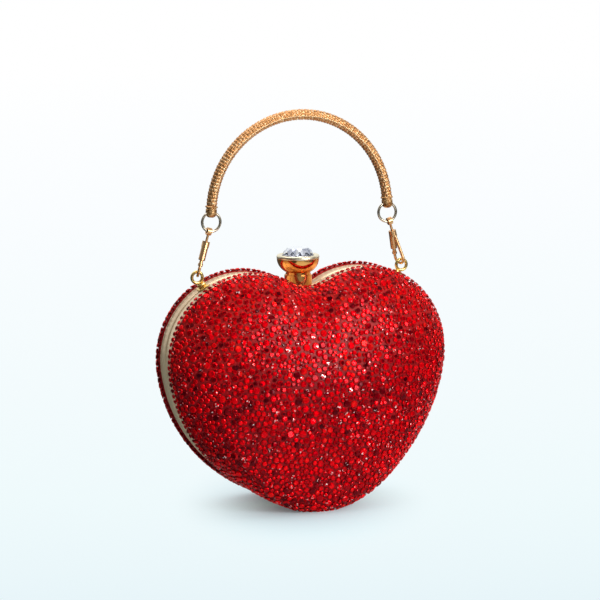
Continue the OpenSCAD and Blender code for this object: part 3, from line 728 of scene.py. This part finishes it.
# %% [markdown]
# ## The gold frame
# Two bands of rolled metal strip follow the heart and meet at a parting groove. A strip is a profile
# carried along a path: the profile says how far out and how far back each line of the strip lies,
# and the path is the outline. A low lip runs beside the stones, and a shelf inside holds the lining.

# %% Sweep the two bands
BAND_STEPS = 480
BAND_PROFILE = np.array([
    (-0.40, 0.15), (-0.40, 0.62), (-0.1, 0.72), (0.1, 1.1), (0.16, 2.2), (0.17, 3.6), (0.15, 5.0),
    (0.1, 5.9), (-0.22, 6.2), (-0.22, 6.45), (0.16, 6.7), (0.2, 7.1), (0.2, 7.7), (-0.05, 8.13),
    (-4.0, 8.13), (-4.0, 7.15), (-1.6, 7.15), (-1.6, 0.15)])
NOTCH_X, NOTCH_Y = 6.6, 5.1


def band_angles():
    """Evenly warped directions, with a close pair at each end of the notch for the hinge."""
    base = np.mod(warped_rays(BAND_STEPS), 2 * math.pi)
    end = math.atan2(TIP_C[1] - math.sqrt(TIP_R ** 2 - NOTCH_X ** 2), NOTCH_X)
    step = 0.0002
    pairs = np.array([end - step, end + step, math.pi - end - step, math.pi - end + step])
    pairs = np.mod(pairs, 2 * math.pi)
    keep = np.abs(base[:, None] - pairs[None, ::2]).min(1) > 0.004
    return np.sort(np.concatenate([base[keep], pairs]))


def band(name, side):
    """The profile swept round the heart, pressed to the far side of the notch where the hinge sits."""
    angle = band_angles()[:, None]
    out, depth = BAND_PROFILE[None, :, 0], BAND_PROFILE[None, :, 1]
    radius = heart_radius(angle, out)
    x, z = radius * np.cos(angle), CROWN_Z + radius * np.sin(angle)
    edge = heart_radius(angle)
    notch = (np.abs(edge * np.cos(angle)) < NOTCH_X) & (np.sin(angle) < 0) & (depth < NOTCH_Y)
    depth = np.where(notch, NOTCH_Y + 0.01 * (depth - 0.1), depth)
    points = np.stack(np.broadcast_arrays(x, side * depth, z), -1)
    rows, columns = points.shape[:2]
    faces = grid_quads(rows, columns, close_rows=True)
    return keep_edges(outward(make_mesh(name, points.reshape(-1, 3), quads=faces)))


for side, half in HALVES:
    settle(band(f"{half}_band", side), f"{half}_half", "champagne_gold", champagne, f"{half}_frame")

# %% [markdown]
# ## The satin linings
# Inside each half a piece of satin is stretched over a thin former and glued behind the frame's shelf.
# A flat cut can't follow a dome, so it lies in small gathers that run from the frame to the crown. A
# cloth simulation could find them, but glued gathers don't move. They are a ripple on the dome surface.

# %% Two linings with gathers
LINING_OUT, LINING_IN = -1.55, -2.1
GATHER_DEPTH, CLOTH_TO_SPARE = 0.45, 1.03


def gathers(direction, reach):
    """Depth of the folds: waves round the heart, of two counts, that fade out towards the crown."""
    wave = 0.6 * np.sin(46 * direction + 2.0 * np.sin(3 * direction)) + 0.4 * np.sin(71 * direction + 1.0)
    return GATHER_DEPTH * (1 + wave) * np.sin(np.clip(reach, 0, 1) * math.pi) ** 0.7


def satin_material():
    """Ivory satin: threads as stretched noise in the bump, a soft cloudy tone and a sheen."""
    material, tree, shader = new_material("ivory_satin")
    spot = spot_of(tree)
    thread = noise(tree, scaled(tree, spot, (5000.0, 5000.0, 700.0)), 1.0, 2.0)
    ivories = [(0.3, (206, 186, 148)), (0.75, (228, 212, 180))]
    colour_with(tree, shader, ramp(tree, noise(tree, spot, 45.0, 3.0), ivories))
    emboss(tree, shader, thread, 0.35, 0.0001)
    set_plain(shader, Roughness=0.38, Sheen_Weight=0.35, Sheen_Roughness=0.4)
    return material


satin = satin_material()
for side, half in HALVES:
    cloth = dome_shell(f"{half}_satin", LINING_OUT, LINING_IN, side, rays=288, rings=36, ripple=gathers)
    settle(cloth, f"{half}_half", "satin_lining", satin, f"{half}_lining")

# %% [markdown]
# ## The woven handle
# The handle is a soft core in a tube of fine gold mesh. Looked at closely the mesh is rows of small
# overlapping scales round the tube, each row shifted by half a scale from the next, with a seam along
# the front. That is one number per place: a height above the tube, worked out from the angle round it
# and the length along. A tone for each scale is kept on the mesh: a random painted light, because no two
# scales catch the same light, and a painted shade in the hollows, where the finish is darker.

# %% The arch and its scales
sleeve_low, sleeve_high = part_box("handle_sleeve")
GRIP_R = 3.1
ARCH_END = math.radians(5.0)
rise = (sleeve_high.z - sleeve_low.z) / MM
ARCH_R = (rise - GRIP_R * (1 + math.sin(ARCH_END))) / (1 - math.sin(ARCH_END))
ARCH_Z = sleeve_high.z / MM - GRIP_R - ARCH_R
CHAIN_Y = (sleeve_high.y + sleeve_low.y) / 2 / MM
SCALE_ROWS, SCALES_ROUND = 86, 9
ALONG, AROUND = 6, 7
SCALE_FLOOR, SCALE_LIFT = 0.52, 0.5
SEAM_AT, SEAM_WIDTH, SEAM_RISE = math.radians(256), 0.1, 0.92


def wrapped_uv(piece, across, length, whole):
    """Writes each corner's pair of pattern coordinates, plus a whole turn where a face closes the tube."""
    mesh = piece.data
    vertex = np.empty(len(mesh.loops), np.int32)
    mesh.loops.foreach_get("vertex_index", vertex)
    start = np.empty(len(mesh.polygons), np.int32)
    mesh.polygons.foreach_get("loop_start", start)
    size = np.diff(np.append(start, len(vertex)))
    u = across[vertex]
    top = np.repeat(np.maximum.reduceat(u, start), size)
    u = np.where(top - u > whole / 2, u + whole, u)
    layer = mesh.uv_layers.new(name="weave")
    layer.data.foreach_set("uv", np.stack([u, length[vertex]], -1).astype(np.float32).ravel())


def sleeve():
    """A tube along the arch. Along each scale the height falls from 1 at its lifted end to 0, across it
    the height is a round hump, every other row is shifted by half a scale, and a seam adds a ridge."""
    rows, columns = SCALE_ROWS * ALONG + 1, SCALES_ROUND * AROUND
    s = np.linspace(0, SCALE_ROWS, rows)[:, None]
    w = np.linspace(0, SCALES_ROUND, columns, endpoint=False)[None, :]
    row = np.minimum(np.floor(s + 1e-6), SCALE_ROWS - 1)
    along = s - row
    across = np.mod(w + 0.5 * np.mod(row, 2), 1.0) - 0.5
    hump = np.sqrt(np.maximum(1 - (across / 0.5) ** 2, 0))
    lift = np.clip(1 - along, 0, 1) ** 0.8 * hump
    phi = ARCH_END + (math.pi - 2 * ARCH_END) * s / SCALE_ROWS
    psi = 2 * math.pi * w / SCALES_ROUND
    seam = np.exp(-((psi - SEAM_AT) / SEAM_WIDTH) ** 2) + 0 * s
    lift = np.maximum(lift, SEAM_RISE * seam)
    radius = GRIP_R - SCALE_FLOOR + SCALE_LIFT * lift
    # a random painted light for each scale, as if no two caught the same light
    painted_scale_light = np.random.default_rng(3).beta(6.0, 3.4, (SCALE_ROWS, SCALES_ROUND))
    cell = np.mod(np.floor(w + 0.5 * np.mod(row, 2)), SCALES_ROUND).astype(int)
    # painted shade: the tone falls towards the hollows of each scale; the seam keeps a fixed painted light
    tone = np.where(seam > 0.4, 0.85, painted_scale_light[row.astype(int) + 0 * cell, cell]) * (0.05 + 1.15 * lift)
    reach = ARCH_R + radius * np.cos(psi)
    points = np.stack([reach * np.cos(phi), CHAIN_Y + radius * np.sin(psi) + 0 * phi,
                       ARCH_Z + reach * np.sin(phi)], -1)
    ends = np.array([[ARCH_R * math.cos(a), CHAIN_Y, ARCH_Z + ARCH_R * math.sin(a)]
                     for a in (ARCH_END, math.pi - ARCH_END)])
    all_points = np.concatenate([points.reshape(-1, 3), ends])
    last = (rows - 1) * columns + np.arange(columns)
    tris = np.concatenate([fan(rows * columns, np.arange(columns))[:, ::-1], fan(rows * columns + 1, last)])
    piece = outward(make_mesh("mesh_sleeve", all_points, quads=grid_quads(rows, columns), tris=tris))
    shades = piece.data.attributes.new("tone", "FLOAT", "POINT")
    shades.data.foreach_set("value", np.append(tone.ravel(), [0, 0]).astype(np.float32))
    flat = [np.append(np.broadcast_to(a, lift.shape).ravel(), [0, 0]) for a in (w, s)]
    wrapped_uv(piece, flat[0], flat[1], float(SCALES_ROUND))
    return piece


print(f"arch of {ARCH_R:.1f} mm radius with {SCALE_ROWS} rows of {SCALES_ROUND} scales")

# %% [markdown]
# The wires of the mesh are far too fine to model. Two sets of slanting waves on the pattern coordinates
# cross each other in the bump, and a ramp turns each scale's tone, its painted light and shade, into
# its gold.

# %% The finish of the mesh
MESH_GOLD_PAINTED_SHADE_TO_LIGHT = [(0.0, (136, 88, 48)), (0.2, (196, 134, 80)), (0.55, (226, 168, 112)), (1.0, (248, 220, 178))]
WIRES = ((26.0, 19.0, 0.0), (26.0, -19.0, 0.0))


def mesh_gold():
    """Gold wire mesh: pale where the scales carry painted light and brown in the hollows, a painted shade,
    with fine crossed wires in the bump.
    """
    material, tree, shader = new_material("woven_gold_mesh")
    toned = add(tree, "ShaderNodeAttribute", attribute_name="tone")
    colour_with(tree, shader, ramp(tree, toned.outputs["Fac"], MESH_GOLD_PAINTED_SHADE_TO_LIGHT))
    pattern = add(tree, "ShaderNodeUVMap", uv_map="weave").outputs[0]
    wires = [maths(tree, "SINE", vector_maths(tree, "DOT_PRODUCT", pattern, way)) for way in WIRES]
    emboss(tree, shader, maths(tree, "MAXIMUM", *wires), 0.5, 0.00006)
    set_plain(shader, Metallic=0.9, Roughness=0.33)
    return material


settle(sleeve(), "handle", "gold_mesh", mesh_gold(), "handle_sleeve")

# %% [markdown]
# ## The clasp
# The button is a goblet: a neck, a bowl like half a ball, a pale ring and a large clear crystal. Turned
# parts are a profile carried round an axis. On a lathe the profile is a few arcs, and so it is here.

# %% Turn the bowl and the ring
cup_low, cup_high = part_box("button_cup")
CLASP_Y = (cup_low.y + cup_high.y) / 2 / MM
RIM_R = (cup_high.x - cup_low.x) / 2 / MM
NECK_R, BOWL_H, BALL_H = 6.8, 7.4, 9.41
BEZEL_Z = cup_high.z / MM


def turned(name, profile, segments=128):
    """A closed profile of radius and height, carried round the clasp's upright axis."""
    radius, height = np.array(profile).T
    angle = (2 * math.pi * np.arange(segments) / segments)[:, None]
    points = np.stack([radius * np.cos(angle), CLASP_Y + radius * np.sin(angle), height + 0 * angle], -1)
    faces = grid_quads(segments, len(profile), close_rows=True)
    return keep_edges(outward(make_mesh(name, points.reshape(-1, 3), quads=faces)), 40)


drop = np.linspace(BOWL_H, 0, 32)
bowl_r = RIM_R * np.sqrt(1 - (drop / BALL_H) ** 2)
bowl = [(5.9, cup_low.z / MM), (NECK_R, cup_low.z / MM), (NECK_R, BEZEL_Z - BOWL_H - 0.12)]
bowl += list(zip(bowl_r, BEZEL_Z - drop))
bowl += [(10.7, BEZEL_Z), (4.2, BEZEL_Z - 6.0), (1.6, BEZEL_Z - 6.2), (1.6, BEZEL_Z - 7.4),
         (5.9, BEZEL_Z - 7.6)]
settle(turned("clasp_bowl", bowl), "button", "warm_gold", bowl_gold, "button_cup")
ring = [(8.7, 0.0), (RIM_R - 0.1, 0.0), (RIM_R + 0.05, 0.25), (RIM_R + 0.1, 0.85), (RIM_R, 1.45),
        (RIM_R - 0.35, 1.88), (RIM_R - 1.0, 2.02), (RIM_R - 2.1, 1.86), (8.9, 1.72), (8.7, 1.4)]
ring = [(r, BEZEL_Z + h) for r, h in ring]
settle(turned("clasp_ring", ring), "button", "pale_gold", pale_gold, "crystal_bezel")

# %% [markdown]
# The clear crystal is cut like the small stones but with twelve sides and two crown rows. It has a
# silver foil behind it, so one looks at bright and grey mirrors and not through the glass. Those mirror
# images are painted: each facet gets a grey of painted reflection.

# %% Cut the clear crystal
CLEAR_SIDES = 12
TABLE_H, POINT_DEPTH = 5.84, 3.4
PAINTED_MIRROR_GREYS = [(0.0, (96, 98, 104)), (0.3, (168, 170, 186)), (0.65, (218, 218, 232)), (1.0, (250, 250, 252))]
CLEAR_RINGS = [(5.7, 5.78, 0.0), (7.5, 4.3, 0.5), (8.6, 2.2, 0.0), (8.65, 1.9, 0.5), (8.65, 1.5, 0.5)]


def clear_crystal():
    """Rings of points joined by flat facets, a table on top and a point below. Each facet has its own
    grey, a painted reflection: random, darker at the far side and at the near right, where the foil
    behind would mirror the dark side, and nearly white on the table, a painted highlight."""
    turn = 2 * math.pi / CLEAR_SIDES
    j = np.arange(CLEAR_SIDES)
    rows = []
    for r, h, shift in CLEAR_RINGS:
        angle = (j + shift) * turn
        rows.append(np.stack([r * np.cos(angle), CLASP_Y + r * np.sin(angle), 0 * j + BEZEL_Z + h], -1))
    points = np.concatenate(rows + [[[0, CLASP_Y, BEZEL_Z + TABLE_H]], [[0, CLASP_Y, BEZEL_Z - POINT_DEPTH]]])
    a, b, c, d, e = [CLEAR_SIDES * n + j for n in range(5)]
    up, down = 5 * CLEAR_SIDES, 5 * CLEAR_SIDES + 1
    nxt = (j + 1) % CLEAR_SIDES
    back_one = (j - 1) % CLEAR_SIDES
    tris = np.concatenate([fan(up, a), np.stack([a, b, a[nxt]], -1), np.stack([b, c[nxt], a[nxt]], -1),
                           np.stack([a[nxt], c[nxt], b[nxt]], -1), np.stack([c, d, c[nxt]], -1),
                           np.stack([c, d[back_one], d], -1), fan(down, e)[:, ::-1]])
    quads = np.stack([d, e, e[nxt], d[nxt]], -1)
    piece = make_mesh("clasp_stone", points, quads=quads, tris=tris, smooth=False)
    rng = np.random.default_rng(5)
    # a random painted reflection for each facet
    grey = rng.uniform(0.35, 1.0, len(piece.data.polygons))
    centres = np.empty(3 * len(grey))
    piece.data.polygons.foreach_get("center", centres)
    middle_x, middle_y, middle_z = (centres.reshape(-1, 3) / MM).T
    # painted shade on the far side and the near right, a painted highlight on the table
    grey = np.where(middle_y > CLASP_Y + 2, 0.3 * grey, grey)
    grey = np.where((middle_y < CLASP_Y) & (middle_x > 1), 0.45 * grey, grey)
    grey = np.where(middle_z > BEZEL_Z + 5.7, 0.85 + 0.15 * grey, grey)
    sizes = np.empty(len(grey), np.int32)
    piece.data.polygons.foreach_get("loop_total", sizes)
    keep_facets(piece, np.repeat(np.stack([grey, grey, grey, 0 * grey + 1], -1), sizes, axis=0))
    return outward(piece)


def crystal_clear(name):
    """Silver-foiled clear glass: facet values of painted reflection through a ramp of greys with a lavender
    tint, a glassy coat.
    """
    material, tree, shader = new_material(name)
    facet = add(tree, "ShaderNodeAttribute", attribute_name="facet")
    colour_with(tree, shader, ramp(tree, facet.outputs["Fac"], PAINTED_MIRROR_GREYS))
    set_plain(shader, Metallic=0.65, Roughness=0.06, Coat_Weight=0.4, Coat_Roughness=0.02)
    return material


settle(clear_crystal(), "button", "clear_crystal", crystal_clear("silver_foiled_crystal"), "clasp_crystal")

# %% [markdown]
# ## The eyelets
# Each eyelet is a wire ring on a small rounded foot, soldered to a thin saddle that follows the lobe.
# Foot and saddle are the same rounded block, with other sizes: a ball whose cosines and sines are
# raised to a power, which makes it squarer. The block is measured along, across and up from the lobe.

# %% Build an eyelet in the lobe's own directions
EYELET_TURN = math.radians(59.6)
EYELET_OUT, EYELET_R, WIRE_R = LOBE_R + 6.9, 3.05, 0.86


def on_lobe(along, across, up, mirror):
    """Along is an arc on the lobe, across is depth, up is the distance from the lobe's band."""
    turn = EYELET_TURN - along / (LOBE_R + up)
    x = LOBE_C[0] + (LOBE_R + up) * np.cos(turn)
    z = CROWN_Z + LOBE_C[1] + (LOBE_R + up) * np.sin(turn)
    return np.stack([mirror * x, CHAIN_Y + across + 0 * x, z], -1)


def rounded_block(half, power, rise, mirror, rows=17, columns=32):
    """Latitude and longitude of a ball with softened powers, stretched to three half sizes and lifted."""
    def soft(value):
        return np.sign(value) * np.abs(value) ** power

    lat = np.linspace(-math.pi / 2, math.pi / 2, rows)[1:-1, None]
    lon = np.linspace(0, 2 * math.pi, columns, endpoint=False)[None, :]
    along = half[0] * soft(np.cos(lat)) * soft(np.cos(lon))
    across = half[1] * soft(np.cos(lat)) * soft(np.sin(lon))
    body = on_lobe(along, across, rise + half[2] * soft(np.sin(lat)) + 0 * lon, mirror).reshape(-1, 3)
    poles = on_lobe(np.zeros(2), np.zeros(2), rise + half[2] * np.array([-1.0, 1.0]), mirror)
    n = (rows - 2) * columns
    tris = np.concatenate([fan(n, np.arange(columns)), fan(n + 1, n - columns + np.arange(columns))[:, ::-1]])
    return np.concatenate([body, poles]), grid_quads(rows - 2, columns), tris


def wire_ring(mirror, rows=72, columns=20):
    """A circle of wire that stands in the plane of the handle, on the foot."""
    a = np.linspace(0, 2 * math.pi, rows, endpoint=False)[:, None]
    b = np.linspace(0, 2 * math.pi, columns, endpoint=False)[None, :]
    centre = on_lobe(0.0, 0.0, EYELET_OUT - LOBE_R, mirror)
    reach = EYELET_R + WIRE_R * np.cos(b)
    points = np.stack([centre[0] + reach * np.cos(a), centre[1] + WIRE_R * np.sin(b) + 0 * a,
                       centre[2] + reach * np.sin(a)], -1)
    return points.reshape(-1, 3), grid_quads(rows, columns, close_rows=True), np.zeros((0, 3), int)


def joined(name, parts):
    """Closed shells side by side in one mesh, each with its faces shifted to its own points."""
    starts = np.cumsum([0] + [len(p) for p, _, _ in parts[:-1]])
    quads = np.concatenate([q + s for (_, q, _), s in zip(parts, starts)])
    tris = np.concatenate([t + s for (_, _, t), s in zip(parts, starts)])
    return outward(make_mesh(name, np.concatenate([p for p, _, _ in parts]), quads=quads, tris=tris))


for side_name, mirror in (("left", -1), ("right", 1)):
    eyelet = joined(f"{side_name}_ring_eyelet", [
        wire_ring(mirror),
        rounded_block((2.3, 2.0, 1.45), 0.55, 1.9, mirror),
        rounded_block((3.3, 3.2, 0.42), 0.35, 0.62, mirror)])
    settle(eyelet, "rear_half", "champagne_gold", eyelet_gold, f"{side_name}_eyelet")

# %% [markdown]
# ## Finishes for the drawn parts
# Hinge, latch, snaps, rings, caps and springs keep the shape that the CAD gave them. Each gets a metal
# of its own tone.

# %% A patterned gold for the end caps
def scaled_gold():
    """Cast gold with a pattern of small scales: cells of a Voronoi texture in the colour and the bump."""
    material, tree, shader = new_material("scaled_gold_casting")
    cells = add(tree, "ShaderNodeTexVoronoi", [("Vector", spot_of(tree)), ("Scale", 640.0)])
    distance = cells.outputs["Distance"]
    colour_with(tree, shader, ramp(tree, distance, [(0.15, (255, 204, 142)), (0.75, (150, 92, 44))]))
    emboss(tree, shader, distance, 0.6, 0.0002).invert = True
    set_plain(shader, Metallic=0.8, Roughness=0.36)
    return material


cap_gold = scaled_gold()
print("made", cap_gold.name)

# %% Hand out the metals
FINISHES = {
    pink_gold: ["left_snap_eye", "right_snap_eye", "left_snap_hook", "right_snap_hook", "left_snap_bolt",
                "right_snap_bolt"],
    silver_ring: ["left_jump_ring", "right_jump_ring"],
    warm_gold: ["clasp_collar"],
    cap_gold: ["left_end_cap", "right_end_cap"],
    champagne: ["rear_hinge_leaf", "front_hinge_leaf", "catch_plate", "catch_rivets", "latch_stem"],
    steel: ["hinge_pin", "button_spring", "left_snap_spring", "right_snap_spring"],
    shell_metal: ["handle_core"],
}
for material, names in FINISHES.items():
    for name in names:
        for index in range(max(len(nodes[name].material_slots), 1)):
            if not nodes[name].material_slots:
                nodes[name].data.materials.append(material)
            nodes[name].material_slots[index].material = material
print("drawn parts with a new finish:", sum(len(v) for v in FINISHES.values()))

# %% [markdown]
# ## Light, floor and background
# The object stands on a pale sweep that runs far back and turns white. Close to the purse the floor is
# a plain matte surface that takes the soft shadow. Further off it shines by itself at the tone of the
# sweep, for the camera and for mirror and glass rays, so the metal reflects the same pale ground. A
# real table is small and stands in a darker room. Polished gold shows that as dark streaks, so for
# mirror rays the glow fades with the distance to the sides, more on the left than on the right.

# %% The floor
SWEEP_TONES = [(0.0, (229, 243, 248)), (0.28, (239, 250, 252)), (0.42, (243, 251, 253)),
               (0.7, (250, 253, 255)), (1.0, (255, 255, 255))]
FLOOR_HALF = 9000
ahead = Vector((math.sin(AZIMUTH), math.cos(AZIMUTH), 0.0))


def floor_tone(tree, spot):
    """The sweep's tone by distance: a pale blue grey in front that turns white behind the purse, and
    far out on every side."""
    outside = maths(tree, "SUBTRACT", vector_maths(tree, "LENGTH", spot), 1.0)
    depth = maths(tree, "MAXIMUM", vector_maths(tree, "DOT_PRODUCT", spot, ahead), outside)
    share = between(tree, depth, (-0.25, 3.0), smooth=False)
    return ramp(tree, maths(tree, "POWER", share, 0.5), SWEEP_TONES)


def floor_material():
    """Matte near the purse for the shadow, and self-lit with distance for the rays that may see it."""
    material = bpy.data.materials.new("pale_sweep")
    material.use_nodes = True
    tree = material.node_tree
    tree.nodes.clear()
    spot = spot_of(tree)
    ray = add(tree, "ShaderNodeLightPath").outputs
    matte = add(tree, "ShaderNodeBsdfDiffuse", [("Color", srgb(215, 244, 251))])
    left, right_side, front = [vector_maths(tree, "DOT_PRODUCT", spot, way)
                               for way in (-5.0 * level, 0.8 * level, -0.4 * ahead)]
    away = maths(tree, "MAXIMUM", maths(tree, "MAXIMUM", left, right_side), front)
    table_edge = between(tree, away, (0.1, 0.45), (1.0, 0.1))
    strength = add(tree, "ShaderNodeMix", [(0, ray["Is Glossy Ray"]), (2, 1.0), (3, table_edge)])
    glow = add(tree, "ShaderNodeEmission",
               [("Color", floor_tone(tree, spot)), ("Strength", strength.outputs[0])])
    level_spot = add(tree, "ShaderNodeVectorRotate", [("Vector", spot), ("Angle", AZIMUTH)],
                     rotation_type="Z_AXIS")
    length = vector_maths(tree, "LENGTH",
                          vector_maths(tree, "MULTIPLY", level_spot.outputs[0], (1.0, 0.55, 1.0)))
    far = between(tree, length, (0.005, 0.075), (0.08, 1.0))
    seen = maths(tree, "MAXIMUM", ray["Is Camera Ray"], ray["Is Glossy Ray"])
    seen = maths(tree, "MAXIMUM", seen, ray["Is Transmission Ray"])
    both = add(tree, "ShaderNodeMixShader",
               [(0, maths(tree, "MULTIPLY", far, seen)), (1, matte.outputs[0]), (2, glow.outputs[0])])
    add(tree, "ShaderNodeOutputMaterial", [("Surface", both.outputs[0])])
    return material


lines = np.linspace(-FLOOR_HALF, FLOOR_HALF, 7)
gx, gy = np.meshgrid(lines, lines, indexing="xy")
plane = np.stack([gx, gy, 0 * gx], -1).reshape(-1, 3)
floor = make_mesh("floor", plane, quads=grid_quads(7, 7, close_columns=False))
floor.data.materials.append(floor_material())
print("floor faces up:", floor.data.polygons[0].normal.z > 0)

# %% [markdown]
# ## Light
# A large soft box above and a smaller one in front, up and to the right, give the sparkle and the soft
# shadow. The rest of the light is a plain room that is dim behind the viewer and darker at the sides,
# because polished metal looks like metal only when it has something dark to reflect. Each level is a
# smooth step of the direction, so there are no hard shapes in the mirrors. The camera sees white
# everywhere above the floor, and so do mirrors and glass that look towards the backdrop.

# %% The world and the lamps
scene = bpy.context.scene
world = bpy.data.worlds.new("soft_studio")
scene.world = world
world.use_nodes = True
tree = world.node_tree
tree.nodes.clear()
view_way = add(tree, "ShaderNodeTexCoord").outputs["Generated"]
ray = add(tree, "ShaderNodeLightPath").outputs
sideways = maths(tree, "ABSOLUTE", vector_maths(tree, "DOT_PRODUCT", view_way, level))
upward = add(tree, "ShaderNodeSeparateXYZ", [(0, view_way)]).outputs[2]
towards = vector_maths(tree, "DOT_PRODUCT", view_way, ahead)
dark = maths(tree, "MULTIPLY", between(tree, sideways, (0.3, 0.75), (0.0, 0.86)),
             between(tree, upward, (0.2, 0.75), (1.0, 0.0)))
room = maths(tree, "MULTIPLY", between(tree, towards, (-0.9, 0.4), (0.2, 0.8)),
             maths(tree, "SUBTRACT", 1.0, dark))
mirrored = maths(tree, "MAXIMUM", ray["Is Glossy Ray"], ray["Is Transmission Ray"])
mirrored = maths(tree, "MULTIPLY", mirrored, between(tree, towards, (0.1, 0.7)))
shown = maths(tree, "MAXIMUM", ray["Is Camera Ray"], mirrored)
sky = add(tree, "ShaderNodeBackground",
          [("Color", srgb(248, 253, 255)), ("Strength", maths(tree, "MAXIMUM", room, shown))])
add(tree, "ShaderNodeOutputWorld", [("Surface", sky.outputs[0])])
LOOK_AT = Vector((0, 0, 0.09))


def lamp(name, place_mm, size_mm, power):
    """A square soft box that faces the middle of the purse."""
    light = bpy.data.objects.new(name, bpy.data.lights.new(name, "AREA"))
    light.data.shape = "SQUARE"
    light.data.size = size_mm * MM
    light.data.energy = power
    light.location = Vector(place_mm) * MM
    light.rotation_mode = "QUATERNION"
    light.rotation_quaternion = (LOOK_AT - light.location).to_track_quat("-Z", "Y")
    scene.collection.objects.link(light)


lamp("overhead_softbox", (-60, 300, 1350), 1200, 9.0)
lamp("key_softbox", (700, -1540, 700), 900, 26.0)
scene.view_settings.view_transform = "Standard"
